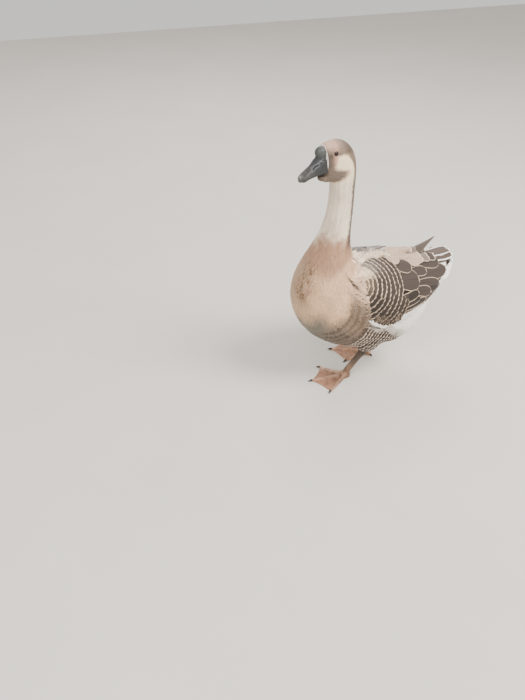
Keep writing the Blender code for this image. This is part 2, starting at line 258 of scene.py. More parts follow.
def joined(name, nodes):
    """One mesh object from copies of CAD nodes."""
    bm = bmesh.new()
    for node in nodes:
        bm.from_mesh(NODES[node].data)
    bmesh.ops.remove_doubles(bm, verts=bm.verts, dist=1e-5)
    return add_object(name, mesh_from(bm, name))


def remeshed(obj, voxel, smoothing):
    """The same object as one closed surface of even small faces."""
    remesh = obj.modifiers.new("remesh", "REMESH")
    remesh.mode = "VOXEL"
    remesh.voxel_size = voxel
    smooth = obj.modifiers.new("smooth", "SMOOTH")
    smooth.factor = 0.5
    smooth.iterations = smoothing
    depsgraph = bpy.context.evaluated_depsgraph_get()
    mesh = bpy.data.meshes.new_from_object(obj.evaluated_get(depsgraph))
    name = obj.name
    bpy.data.objects.remove(obj)
    bm = bmesh.new()
    bm.from_mesh(mesh)
    keep_largest(bm)
    bm.to_mesh(mesh)
    bm.free()
    mesh.name = name
    mesh.shade_smooth()
    return add_object(name, mesh)


def keep_largest(bm):
    """Removes the small closed bubbles that remeshing leaves in the gaps."""
    left = set(bm.verts)
    shells = []
    while left:
        seed = left.pop()
        shell = [seed]
        stack = [seed]
        while stack:
            for edge in stack.pop().link_edges:
                for vert in edge.verts:
                    if vert in left:
                        left.remove(vert)
                        shell.append(vert)
                        stack.append(vert)
        shells.append(shell)
    shells.sort(key=len)
    bmesh.ops.delete(bm, geom=[v for shell in shells[:-1] for v in shell], context="VERTS")


def join_rings(bm, rings):
    """Joins each ring of vertices to the next with quads."""
    for low, high in zip(rings, rings[1:]):
        for k in range(len(low)):
            after = (k + 1) % len(low)
            bm.faces.new((low[k], low[after], high[after], high[k]))


def coordinates(mesh, kind="co"):
    flat = np.zeros(len(mesh.vertices) * 3, np.float32)
    mesh.vertices.foreach_get(kind, flat)
    return flat.reshape(-1, 3).astype(float)


def normals(mesh):
    return coordinates(mesh, "normal")


def set_coordinates(mesh, co):
    mesh.vertices.foreach_set("co", np.asarray(co, np.float32).ravel())
    mesh.update()


def set_colour(mesh, name, rgb, alpha=1.0):
    layer = mesh.color_attributes.new(name=name, type="FLOAT_COLOR", domain="POINT")
    rgba = np.ones((len(mesh.vertices), 4), np.float32)
    rgba[:, :3] = rgb
    rgba[:, 3] = alpha
    layer.data.foreach_set("color", rgba.ravel())


def set_vector(mesh, name, values):
    layer = mesh.attributes.new(name, "FLOAT_VECTOR", "POINT")
    layer.data.foreach_set("vector", np.asarray(values, np.float32).ravel())


def set_value(mesh, name, value):
    layer = mesh.attributes.new(name, "FLOAT", "POINT")
    layer.data.foreach_set("value", np.full(len(mesh.vertices), value, np.float32))


# ---- materials -----------------------------------------------------------
class Nodes:
    """Short ways to build a node tree."""

    def __init__(self, name):
        self.material = bpy.data.materials.new(name)
        self.material.use_nodes = True
        self.tree = self.material.node_tree
        self.shader = self.tree.nodes["Principled BSDF"]

    def add(self, kind, **settings):
        node = self.tree.nodes.new(kind)
        for key, value in settings.items():
            setattr(node, key, value)
        return node

    def link(self, source, target):
        self.tree.links.new(source, target)

    def fill(self, socket, value):
        """Gives an input a link or a fixed value."""
        if isinstance(value, bpy.types.NodeSocket):
            self.link(value, socket)
        else:
            socket.default_value = value

    def math(self, operation, a, b=0.0):
        node = self.add("ShaderNodeMath", operation=operation)
        self.fill(node.inputs[0], a)
        self.fill(node.inputs[1], b)
        return node.outputs[0]

    def times(self, a, b):
        return self.math("MULTIPLY", a, b)

    def plus(self, a, b):
        return self.math("ADD", a, b)

    def attribute(self, name, output="Color"):
        return self.add("ShaderNodeAttribute", attribute_name=name).outputs[output]

    def parts(self, name):
        """The three numbers of a vector attribute."""
        split = self.add("ShaderNodeSeparateXYZ")
        self.link(self.attribute(name, "Vector"), split.inputs[0])
        return split.outputs

    def position(self):
        return self.add("ShaderNodeTexCoord").outputs["Object"]

    def noise(self, scale, detail=3.0, roughness=0.55, vector=None):
        node = self.add("ShaderNodeTexNoise")
        node.inputs["Scale"].default_value = scale
        node.inputs["Detail"].default_value = detail
        node.inputs["Roughness"].default_value = roughness
        self.link(vector or self.position(), node.inputs["Vector"])
        return node.outputs["Fac"]

    def span(self, value, low, high, to_low=0.0, to_high=1.0):
        node = self.add("ShaderNodeMapRange")
        self.link(value, node.inputs["Value"])
        for key, number in (("From Min", low), ("From Max", high), ("To Min", to_low), ("To Max", to_high)):
            self.fill(node.inputs[key], number)
        return node.outputs["Result"]

    def spread(self, noise, low, high):
        """A noise's usual range spread from low to high."""
        return self.span(noise, 0.3, 0.7, low, high)

    def blend(self, share, a, b, mode="MIX"):
        node = self.add("ShaderNodeMix", data_type="RGBA", blend_type=mode)
        self.fill(node.inputs["Factor"], share)
        for socket, colour in ((node.inputs[6], a), (node.inputs[7], b)):
            self.fill(socket, colour if isinstance(colour, bpy.types.NodeSocket) else (*colour, 1.0))
        return node.outputs[2]

    def shaded(self, colour, shade):
        """A colour times a shade of grey."""
        grey = self.add("ShaderNodeCombineColor")
        for socket in grey.inputs:
            self.link(shade, socket)
        return self.blend(1.0, colour, grey.outputs[0], "MULTIPLY")

    def bump(self, height, strength, distance):
        node = self.add("ShaderNodeBump")
        node.inputs["Strength"].default_value = strength
        node.inputs["Distance"].default_value = distance
        self.link(height, node.inputs["Height"])
        return node.outputs["Normal"]

    def finish(self, colour, roughness, normal=None, specular=0.3, sheen=0.0):
        self.fill(self.shader.inputs["Base Color"], colour)
        self.fill(self.shader.inputs["Roughness"], roughness)
        self.shader.inputs["Specular IOR Level"].default_value = specular
        self.shader.inputs["Sheen Weight"].default_value = sheen
        if normal:
            self.link(normal, self.shader.inputs["Normal"])
        return self.material


def plume_material(name, barbs):
    """Vane: tone, pale rim, shaft, and fine barbs that slant away from the shaft."""
    n = Nodes(name)
    u, v, seed = n.parts("vane")
    side = n.math("ABSOLUTE", v)
    rim_width = n.attribute("rim", "Alpha")
    wander = n.times(n.math("SUBTRACT", n.noise(230.0, 2.0), 0.5), n.times(rim_width, 1.3))
    to_tip = n.math("SUBTRACT", 1.0, u)
    to_side = n.times(n.math("SUBTRACT", 1.0, side), n.attribute("tone", "Alpha"))
    edge = n.plus(n.math("MINIMUM", to_tip, to_side), wander)
    on_rim = n.span(edge, n.times(rim_width, 0.75), n.times(rim_width, 1.25), 1.0, 0.0)
    on_rim = n.times(on_rim, n.math("GREATER_THAN", rim_width, 0.004))
    phase = n.plus(n.times(u, barbs), n.times(side, -barbs * 0.4))
    barb = n.math("SINE", n.plus(phase, n.times(seed, 40.0)))
    streak = n.span(barb, -1.0, 1.0, 0.95, 1.04)
    shaft = n.span(side, 0.03, 0.09, 0.80, 1.0)
    grain = n.spread(n.noise(900.0, 2.0), 0.90, 1.08)
    body = n.shaded(n.attribute("tone"), n.times(n.times(streak, grain), shaft))
    colour = n.blend(on_rim, body, n.attribute("rim"))
    return n.finish(colour, n.span(barb, -1.0, 1.0, 0.62, 0.80), n.bump(barb, 0.14, 0.0003),
                    specular=0.22, sheen=0.12)


def skin_material():
    """Feathered skin takes its tone; bare legs have scales and creases."""
    n = Nodes("goose_skin")
    bare = n.attribute("bare", "Fac")
    cells = n.add("ShaderNodeTexVoronoi", feature="DISTANCE_TO_EDGE")
    cells.inputs["Scale"].default_value = 420.0
    n.link(n.position(), cells.inputs["Vector"])
    groove = n.span(cells.outputs["Distance"], 0.0, 0.18)
    fine = n.noise(700.0, 2.0)
    mottled = n.times(n.span(groove, 0.0, 1.0, 0.70, 1.04), n.spread(n.noise(95.0, 4.0), 0.78, 1.12))
    leg = n.shaded(n.attribute("tone"), mottled)
    down = n.shaded(n.attribute("tone"), n.spread(fine, 0.88, 1.1))
    relief = n.plus(n.times(groove, bare), n.times(fine, 0.35))
    return n.finish(n.blend(bare, down, leg), n.span(bare, 0.0, 1.0, 0.85, 0.52), n.bump(relief, 0.5, 0.0006))


def bill_material():
    """Slate horn from its tone, which holds the nostril's painted shadow and a painted highlight on the
    ridge, with painted shade in the creases.
    """
    n = Nodes("slate_bill")
    cloud = n.noise(140.0, 4.0)
    fine = n.noise(1100.0, 3.0)
    stretched = n.add("ShaderNodeMapping")
    stretched.inputs["Scale"].default_value = (1.0, 0.25, 1.6)
    n.link(n.position(), stretched.inputs["Vector"])
    creases = n.noise(420.0, 3.0, 0.6, stretched.outputs[0])
    colour = n.shaded(n.attribute("tone"), n.times(n.spread(cloud, 0.82, 1.16), n.spread(fine, 0.92, 1.08)))
    # painted shade in the creases
    colour = n.blend(n.span(creases, 0.56, 0.66, 0.0, 0.35), colour, (0.03, 0.034, 0.038))
    relief = n.plus(n.times(creases, -1.0), n.times(fine, 0.25))
    return n.finish(colour, n.spread(cloud, 0.42, 0.60), n.bump(relief, 0.35, 0.0007), specular=0.42)


def claw_material():
    n = Nodes("claw_horn")
    tone = n.shaded(linear(58, 50, 44), n.spread(n.noise(500.0), 0.7, 1.25))
    return n.finish(tone, n.spread(n.noise(260.0), 0.38, 0.55), n.bump(n.noise(800.0), 0.2, 0.0004),
                    specular=0.4)


def eye_material():
    """Pupil, brown iris with fine rays, dark rim, wet cornea."""
    n = Nodes("eye_wet")
    ring, turn, _ = n.parts("vane")
    rays = n.span(n.math("SINE", n.times(turn, 46.0)), -1.0, 1.0, 0.75, 1.2)
    iris = n.shaded(linear(48, 31, 23), rays)
    colour = n.blend(n.span(ring, 0.30, 0.34), (0.003, 0.003, 0.004), iris)
    colour = n.blend(n.span(ring, 0.62, 0.70), colour, linear(34, 25, 21))
    return n.finish(colour, n.span(ring, 0.0, 1.0, 0.06, 0.10))


def floor_material():
    n = Nodes("pale_floor")
    fine = n.noise(160.0, 3.0)
    shade = n.times(n.spread(n.noise(3.0, 4.0), 0.97, 1.02), n.spread(fine, 0.985, 1.01))
    return n.finish(n.shaded(linear(206, 201, 194), shade), n.spread(fine, 0.80, 0.90),
                    n.bump(fine, 0.1, 0.0005), specular=0.2)


# ---- colours of the plumage ----------------------------------------------
CREAM = linear(246, 216, 180)
OFF_WHITE = linear(238, 221, 198)
# painted shade in the neck's furrows and on its lower front
FURROW_SHADE = linear(172, 158, 138)
BUFF = linear(166, 129, 103)
BREAST = linear(206, 168, 134)
# mottling and painted shade on the breast's lower front
MOTTLE_AND_SHADE = linear(128, 115, 95)
OCHRE = linear(108, 80, 56)
# painted shade on the lower breast and belly
LOW_BREAST_SHADE = linear(110, 104, 92)
BELLY_SHADE = linear(96, 90, 79)
WHITE = linear(252, 247, 238)
SIDE = linear(114, 99, 87)
SIDE_DARK = linear(78, 67, 58)
FLUFF = linear(216, 185, 158)
UPPER_GREY = linear(118, 114, 112)
RUFFLED = linear(224, 192, 165)
RUMP = linear(184, 160, 140)
NAPE = linear(84, 68, 56)
CROWN = linear(146, 124, 108)
CROWN_DARK = linear(82, 69, 60)
FOREHEAD = linear(184, 151, 132)
PINKISH = linear(188, 145, 122)
LORE = linear(99, 86, 76)
LORE_DARK = linear(70, 56, 48)
CHEEK_TAN = linear(122, 107, 94)
JAW_DARK = linear(70, 58, 49)
FLANK = linear(57, 48, 41)
DARK = linear(43, 36, 31)
COVERT = linear(60, 50, 43)
LAVENDER = linear(128, 121, 117)
MAUVE = linear(64, 54, 48)
RIM_CREAM = linear(206, 182, 156)
RIM_DULL = linear(150, 130, 110)
LEG_ORANGE = linear(158, 122, 96)
# dark tone for the shank's painted shade and for random dirt
LEG_DIRT_AND_SHADE = linear(62, 59, 52)
BREAST_MIDDLE = np.array((0.052, -0.165, 0.235))     # of the bands on the breast's side
BAND_SPACING = 0.0165
# the slit's darkness is a painted shadow
SLIT = (-0.0960, 44.2)              # the dark slit's middle: y, degrees from upright

HEAD_SIDE = np.array((math.cos(HEAD_YAW), math.sin(HEAD_YAW), 0.0))
HEAD_AHEAD = np.array((math.sin(HEAD_YAW), -math.cos(HEAD_YAW), 0.0))
HEAD_ORIGIN = np.array((0.0, NECK_AXIS_Y, 0.0)) + SHIFT


def head_place(p):
    """Ahead and height of points in the turned head's own frame."""
    d = np.asarray(p, float) - HEAD_ORIGIN
    return d @ HEAD_AHEAD, d[..., 2]


def blob(p, centre, radii):
    """Soft spot from 1 to 0 in the head's frame, the same on both sides."""
    ahead, up = head_place(p)
    far = ((ahead - centre[0]) / radii[0]) ** 2 + ((up - centre[1]) / radii[1]) ** 2
    return np.exp(-far * 1.2)


def stained_patch(t, phi):
    """Ruffled, stained patch on the front of the breast, a little to its left."""
    turn = np.arctan2(np.sin(phi), -np.cos(phi))
    return bell(turn - 0.30, 0.36) * ramp(0.80 - np.abs(t - 11.25), 0, 0.35)


def plumage(p, t, phi):
    """Tone of the plumage at points p, which lie at t along the body and phi round it."""
    c = np.cos(phi)
    rough, soft, fine = wobble(p, 55.0), wobble(p, 22.0, 4.0), wobble(p, 140.0, 9.0)
    # breast, belly and vent, with bands on the side in front of the wing; the lower breast and belly are
    # darkened as painted shade, and the breast's lower front with mottling and painted shade
    front = ramp(-c - 0.30 * np.maximum(np.sin(phi), 0) + 0.12 * soft, 0.45, 0.85)
    side = ramp(9.35 + 0.15 * rough - t, 0, 0.45) * ramp(0.5 - c, 0, 0.3) * ramp(c, -0.98, -0.8)
    mirrored = np.stack((np.abs(p[:, 0]), p[:, 1], p[:, 2]), -1)
    far = np.linalg.norm(mirrored - BREAST_MIDDLE, axis=1)
    bands = 0.5 + 0.5 * np.sin(far * 2 * math.pi / BAND_SPACING + 0.9 * soft)
    tone = painted(
        BREAST,
        (MOTTLE_AND_SHADE, 0.50 * front * ramp(t, 9.6, 10.6)),
        (LOW_BREAST_SHADE, ramp(10.15 + 0.2 * soft - t, 0, 0.7) * ramp(-c, 0.25, 0.75)),
        (BELLY_SHADE, ramp(9.5 + 0.2 * soft - t, 0, 0.8) * ramp(-c, 0.25, 0.7)),
        (mix(SIDE, SIDE_DARK, ramp(bands, 0.35, 0.9)), 0.85 * side),
        (WHITE, ramp(7.1 + 0.1 * soft - t, 0, 0.35) * ramp(0.35 - c, 0, 0.15)))
    # back, rump and shoulder, with a painted shadow in the slit between shoulder and wing
    back = ramp(9.0 - t, 0, 0.8) * ramp(c, 0.25, 0.5)
    grey = ramp(0.75 - np.abs(t - 6.8), 0, 0.4) * ramp(c + 0.04 * rough, 0.93, 0.97)
    shoulder = ramp(9.9 - t, 0, 0.4) * ramp(t, 7.3, 7.9) * ramp(c, 0.30, 0.5)
    y, angle = chart_of(p)
    slit_shadow = bell(y - SLIT[0], 0.0100) * bell(angle - SLIT[1] - 900 * (y - SLIT[0]), 2.8)
    tone = painted(
        tone,
        (mix(RUFFLED, linear(140, 122, 108), ramp(rough + fine, 0.1, 0.9)), back),
        (UPPER_GREY, 0.85 * grey),
        (RUMP, ramp(6.0 - t, 0, 0.5) * ramp(c, 0.2, 0.5)),
        (linear(84, 71, 62), ramp(3.6 - t, 0, 0.5) * ramp(c, 0.0, 0.3)),
        (FLUFF, 0.8 * shoulder * ramp(0.995 - c, 0, 0.05)),
        # painted shadow in the slit between shoulder and wing
        (linear(56, 42, 34), 0.95 * np.clip(1.4 * slit_shadow, 0, 1)))
    # neck, with painted shade in its furrows and on its lower front
    streak = wobble(p * (1, 1, 0.4), 420.0, 9.0) + 0.6 * soft
    furrow = np.abs(np.sin(phi * 13 + 0.8 * wobble(p, 30.0, 2.0)))
    groove_shade = (1 - ramp(furrow, 0.0, 0.4)) * ramp(t, 12.6, 13.6) * ramp(17.2 - t, 0, 1)
    tone = painted(
        tone,
        (BUFF, ramp(t + 0.2 * soft - 0.45 * np.clip(-c, 0, 1) ** 2, 10.9, 11.5)),
        (OCHRE, np.clip(1.3 * ramp(streak, -0.5, 0.6) * stained_patch(t, phi), 0, 0.85)),
        (OFF_WHITE, ramp(t + 0.22 * rough + 0.15 * fine, 12.35, 13.1)),
        (FURROW_SHADE, 0.5 * groove_shade),
        (FURROW_SHADE, 0.35 * ramp(-c, 0.3, 0.9) * ramp(t, 12.7, 13.2) * ramp(16 - t, 0, 1)),
        (linear(196, 184, 164), 0.55 * ramp(t + 0.3 * rough, 13.8, 15.0)),
        (CREAM, ramp(t, 15.6, 16.4)))
    # head: face, folded skin of the jaw with painted shade in its folds, crown, brow, forehead, and the
    # stripe down the nape
    ahead, up = head_place(p)
    face = ramp(ahead - 0.043 + 0.25 * (up - 0.568) + 0.0015 * fine, -0.006, 0.008) * ramp(t, 16.5, 17)
    jaw_top = 0.5535 + 0.22 * (ahead - 0.036) + 0.0012 * rough
    jaw_low = np.maximum(0.503, 0.5166 + 1.1 * (0.0177 - ahead))
    jaw = ramp(jaw_top - up + 0.002 * fine, -0.004, 0.006) * ramp(up - jaw_low, -0.005, 0.005)
    jaw = jaw * ramp(t, 15.8, 16.6) * ramp(ahead, -0.012, 0.020)
    fold_shade = 0.5 + 0.5 * np.sin((up + 0.25 * ahead) * 900 + 1.5 * rough)
    cap_line = 0.580 + 0.15 * np.maximum(ahead - 0.034, 0) + 0.0012 * rough
    cap = ramp(up - cap_line + 0.002 * fine, -0.004, 0.006) * ramp(t, 16.2, 16.8)
    rear = ramp(0.030 - ahead, 0, 0.030)
    brow = bell(ahead - 0.0435 - 0.12 * (0.59 - up), 0.0060) * ramp(up, 0.558, 0.572)
    nape = ramp(c + 0.04 * rough + 0.05 * ramp(t, 15.5, 16.8), 0.40, 0.54)
    nape = nape * ramp(t + 0.2 * soft, 11.6, 12.4) * ramp(18.2 - t, 0, 0.8)
    tone = painted(
        tone,
        (LORE, face),
        # painted shade in the jaw's folds
        (mix(CHEEK_TAN, JAW_DARK, 0.45 * fold_shade), jaw),
        (mix(CROWN, CROWN_DARK, np.clip(0.35 + 0.4 * soft + 0.5 * rear, 0, 1)), cap),
        (PINKISH, 0.7 * brow * ramp(t, 16.8, 17.4)),
        (FOREHEAD, ramp(ahead + 0.002 * fine, 0.016, 0.058) * ramp(up, 0.586, 0.604)),
        (LORE_DARK, 0.8 * blob(p, (0.0565, 0.5815), (0.004, 0.005))),
        (JAW_DARK, 0.5 * blob(p, (0.0335, 0.5835), (0.006, 0.003))),
        (NAPE, 0.9 * nape))
    return tone * (1 + 0.07 * rough + 0.04 * soft)[:, None]


# ---- feathers ------------------------------------------------------------
class Surface:
    """Nearest place and direction outwards on the smooth outside of the bird."""

    def __init__(self, obj):
        self.tree = BVHTree.FromObject(obj, bpy.context.evaluated_depsgraph_get())

    def near(self, point):
        place, normal, _, _ = self.tree.find_nearest(point)
        return place, normal

    def outside(self, y, degrees, side):
        """Where a ray from outside meets the trunk or wing at y and an angle from upright, or None."""
        angle = math.radians(degrees)
        out = Vector((side * math.sin(angle), 0, math.cos(angle)))
        axis = Vector((0, y, WING_AXIS_Z))
        return self.tree.ray_cast(axis + out * 0.4, -out)[0]


def outline(u, blunt):
    """Half width of a vane at shares u of its length."""
    u = np.asarray(u, float)
    rising = 0.45 + 0.55 * np.sin(np.clip(u / blunt, 0, 1) * math.pi / 2)
    ending = np.sqrt(np.clip(1 - (np.clip(u - blunt, 0, 1) / (1 - blunt)) ** 2.2, 0.03, 1))
    return rising * ending


def level(way, normal):
    """Direction of a way laid flat on a surface."""
    return (way - normal * way.dot(normal)).normalized()


class Feathers:
    """Gathers vanes and makes them one mesh.

    Every vane has its own patch (corner, width, height) of the bake's map. Small ones are given
    theirs; large ones take the next square of a grid with so many squares across.
    """

    def __init__(self, rows, columns, blunt=0.6, across=1):
        self.u = 1 - (1 - np.linspace(0, 1, rows + 1)) ** 1.35
        self.v = np.linspace(-1, 1, columns + 1)
        self.wide = outline(self.u, blunt)
        self.across = across
        self.points, self.vanes = [], []

    def square(self):
        """Patch that fills most of the next square of the grid."""
        row, column = divmod(len(self.vanes), self.across)
        size = 1 / self.across
        return column * size + 0.06 * size, row * size + 0.06 * size, 0.88 * size, 0.88 * size

    def lay(self, root, lie, length, width, tone, rim, rim_width, heights, camber, patch=None,
            hold=1.0, bend=0.0, curl=0.0, aim=None, sides=1.0):
        """One vane from its root, kept to the surface for a share (hold) of its length.

        It follows the way it lies, or else aims at a point. Heights are those of root and tip
        over the surface, and sides widens (under 1) or narrows the rim along both sides.
        """
        low, high = heights
        if aim is not None:
            aim = Vector(aim)
            lie = aim - Vector(root)
            length = lie.length * 1.02
        at, normal = surface.near(Vector(root))
        ahead = level(Vector(lie), normal)
        for i, share in enumerate(self.u):
            stride = share - self.u[i - 1] if i else 0.0
            if i:
                if aim is not None and share < 0.9:
                    ahead = level(aim - at, normal)
                at = at + ahead * (length * stride)
                if share <= hold:
                    at, normal = surface.near(at)
                    ahead = level(ahead, normal)
            across = normal.cross(ahead)
            if bend:
                ahead = (ahead + across * (bend * stride)).normalized()
            rise = low + (high - low) * share ** 0.8 + curl * share ** 3
            half = self.wide[i] * width / 2
            for v in self.v:
                spot, out = at + across * (half * float(v)), normal
                if share <= hold and abs(v) > 0.01:
                    spot, out = surface.near(spot)
                self.points.append(spot + out * (rise - camber * half * float(v) ** 2))
        self.vanes.append((tone, rim, rim_width, width / (2 * length * sides), rng.random(),
                           patch or self.square()))

    def draw(self, root, tip, width, tone, rim, rim_width, heights, camber, sides=1.0):
        """One large vane laid from root to tip."""
        self.lay(root, None, 0, width, tone, rim, rim_width, heights, camber, aim=tip, sides=sides)

    def blade(self, root, tip, up, width, tone, rim, rim_width, offset, sag):
        """One stiff vane from root to tip, bowed down by sag half way."""
        run = tip - root
        length = np.linalg.norm(run)
        across = np.cross(up, run)
        across /= np.linalg.norm(across)
        out = np.cross(run, across)
        out /= np.linalg.norm(out)
        for i, u in enumerate(self.u):
            spine = root + run * u + np.array((0, 0, sag * math.sin(math.pi * u))) + out * offset
            half = self.wide[i] * width / 2
            for v in self.v:
                self.points.append(Vector(spine + across * half * v - out * 0.05 * half * v * v))
        self.vanes.append((tone, rim, rim_width / length, width / (2 * length), rng.random(), self.square()))

    def piece(self, name, material, replaces=()):
        """Makes the gathered vanes one object on the root body."""
        count, rows, columns = len(self.vanes), len(self.u), len(self.v)
        each = rows * columns
        first = np.arange(count)[:, None] * each
        i, j = np.meshgrid(np.arange(rows - 1), np.arange(columns - 1), indexing="ij")
        corner = (i * columns + j).ravel()[None, :] + first
        quads = np.stack((corner, corner + columns, corner + columns + 1, corner + 1), -1).reshape(-1, 4)
        mesh = bpy.data.meshes.new(name)
        mesh.from_pydata(self.points, [], quads.tolist())
        u, v = np.meshgrid(self.u, self.v, indexing="ij")
        u, v = np.tile(u.ravel(), count), np.tile(v.ravel(), count)
        tone, rim, rim_width, side_share, seed, patch = (
            np.repeat(np.array(values, float), each, axis=0) for values in zip(*self.vanes))
        set_vector(mesh, "vane", np.stack((u, v, seed), -1))
        set_colour(mesh, "tone", tone, side_share)
        set_colour(mesh, "rim", rim, rim_width)
        flat = patch[:, :2] + np.stack(((v + 1) / 2, u), -1) * patch[:, 2:]
        layer = mesh.uv_layers.new(name="OFBake")
        layer.data.foreach_set("uv", flat[quads.ravel()].astype(np.float32).ravel())
        mesh.shade_smooth()
        mesh.materials.append(material)
        obj = add_object(name, mesh)
        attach(obj, "root")
        if replaces:
            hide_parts(*replaces)


def thin_out(points, radius):
    """Indices of points kept so that none is nearer another than its radius."""
    cells = np.floor(points / radius.max()).astype(int).tolist()
    steps = [(a, b, c) for a in (-1, 0, 1) for b in (-1, 0, 1) for c in (-1, 0, 1)]
    grid = {}
    kept = []
    for k, ((i, j, m), (x, y, z), limit) in enumerate(zip(cells, points.tolist(), (radius ** 2).tolist())):
        near = (spot for a, b, c in steps for spot in grid.get((i + a, j + b, m + c), ()))
        if all((x - px) ** 2 + (y - py) ** 2 + (z - pz) ** 2 >= limit for px, py, pz in near):
            grid.setdefault((i, j, m), []).append((x, y, z))
            kept.append(k)
    return np.array(kept, int)


def scatter(mesh, weight, count):
    """Random points on a mesh, denser where weight(points) is larger."""
    mesh.calc_loop_triangles()
    corners = np.zeros(len(mesh.loop_triangles) * 3, np.int32)
    mesh.loop_triangles.foreach_get("vertices", corners)
    tri = coordinates(mesh)[corners.reshape(-1, 3)]
    area = np.linalg.norm(np.cross(tri[:, 1] - tri[:, 0], tri[:, 2] - tri[:, 0]), axis=1)
    share = area * weight(tri.mean(1))
    picked = rng.choice(len(tri), count, p=share / share.sum())
    a, b = rng.random((2, count))
    over = a + b > 1
    a[over], b[over] = 1 - a[over], 1 - b[over]
    first, second, third = tri[picked].transpose(1, 0, 2)
    return first + (second - first) * a[:, None] + (third - first) * b[:, None]


# ---- guide and skin ------------------------------------------------------
BODY_NODES = ["head", "neck_upper", "neck_lower", "trunk", "tail", "thigh_left", "thigh_right",
              "wing_left", "wing_right", "wing_tip_left", "wing_tip_right"]


def coat_depth(t):
    """How far the skin lies below the plumage's outside."""
    return np.interp(t, (0, 3, 8, 12, 15, 17, 20), (0.0012, 0.0022, 0.0042, 0.003, 0.002, 0.0011, 0.0006))


def add_lobe(obj, centre, radii):
    """Adds an ellipsoid, given in the head's frame (sideways, ahead, height), to a mesh."""
    bm = bmesh.new()
    bm.from_mesh(obj.data)
    lobe = bmesh.ops.create_icosphere(bm, subdivisions=4, radius=1)["verts"]
    axes = np.stack((HEAD_SIDE, HEAD_AHEAD, (0, 0, 1)))
    base = HEAD_ORIGIN + np.array(centre) @ axes
    for vert in lobe:
        vert.co = Vector(base + (np.array(vert.co) * radii) @ axes)
    bm.to_mesh(obj.data)
    bm.free()
    return obj


CHIN = ((0, 0.0560, 0.5305), (0.0125, 0.0150, 0.0085))
# the surface that the plumage lies on, drawn in further down to make the skin
guide = remeshed(add_lobe(joined("guide", BODY_NODES), *CHIN), voxel=0.0024, smoothing=6)
co = coordinates(guide.data)
EYES = {side: np.mean([np.array(c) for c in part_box("eye_" + side)], axis=0) for side in ("left", "right")}
EYE_AXES = {}
EYE_RADIUS = 0.00585
# the guide is made smooth under each eye, and the eye is let into it
for word, centre in EYES.items():
    (t,), (phi,), _ = BODY.at(centre[None])
    axis = np.cross(body_point(t, phi + 0.05) - body_point(t, phi - 0.05),
                    body_point(t + 0.2, phi) - body_point(t - 0.2, phi))
    axis /= np.linalg.norm(axis)
    axis = axis * np.sign(axis @ (centre - (body_point(t, 0.0) + body_point(t, math.pi)) / 2))
    first = np.cross(axis, (0, 0, 1))
    first /= np.linalg.norm(first)
    d = co - centre
    u, v, h = d @ first, d @ np.cross(axis, first), d @ axis
    radius = np.hypot(u, v)
    terms = np.stack((u * 0 + 1, u, v, u * u, u * v, v * v), -1)
    around = (radius > 0.0068) & (radius < 0.0110) & (h > -0.006)
    fit = np.linalg.lstsq(terms[around], h[around], rcond=None)[0]
    inside = (h > -0.014) * ramp(0.0078 - radius, 0, 0.001)
    co = co + axis * (inside * (terms @ fit - h))[:, None]
    EYES[word] = centre + axis * (fit[0] - 0.0037)
    EYE_AXES[word] = axis
set_coordinates(guide.data, co)
out = normals(guide.data)
t, phi, _ = BODY.at(co)
pleats = np.sin(phi * 15 + 1.2 * wobble(co, 26.0, 2.0)) * ramp(t, 12.3, 13.6) * ramp(16.6 - t, 0, 1.2)
ruffle = wobble(co, 70.0) * 0.0010 * ramp(t, 3.5, 6) * ramp(12.5 - t, 0, 2)
co = co + out * (0.0007 * pleats + ruffle * ~on_wing(co, 0.012))[:, None]
set_coordinates(guide.data, co)
surface = Surface(guide)

skin_co = co - out * coat_depth(t)[:, None]
skin_tone = plumage(co, t, phi) * 0.82
skin_tone[on_wing(co, 0.012)] = DARK

for centre in EYES.values():
    bare = ramp(0.0082 - np.linalg.norm(skin_co - centre, axis=1), 0, 0.001)
    skin_tone = mix(skin_tone, linear(58, 45, 38), bare)

# middle of each foot, and how far it is turned, in degrees
LEGS = {"left": (np.array((0.0385, -0.0375, 0)), -7), "right": (np.array((-0.0330, 0.0660, 0)), -33)}
TOES = ((-45, 0.070), (0, 0.090), (42, 0.084), (-140, 0.017))       # degrees from ahead, and length


def toes(side):
    """Angle, length, and level directions ahead and across of each toe of a foot."""
    for angle, length in TOES:
        way = math.radians((angle if side == "left" else -angle) + LEGS[side][1])
        ahead = np.array((math.sin(way), -math.cos(way), 0))
        yield angle, length, ahead, np.array((ahead[1], -ahead[0], 0))


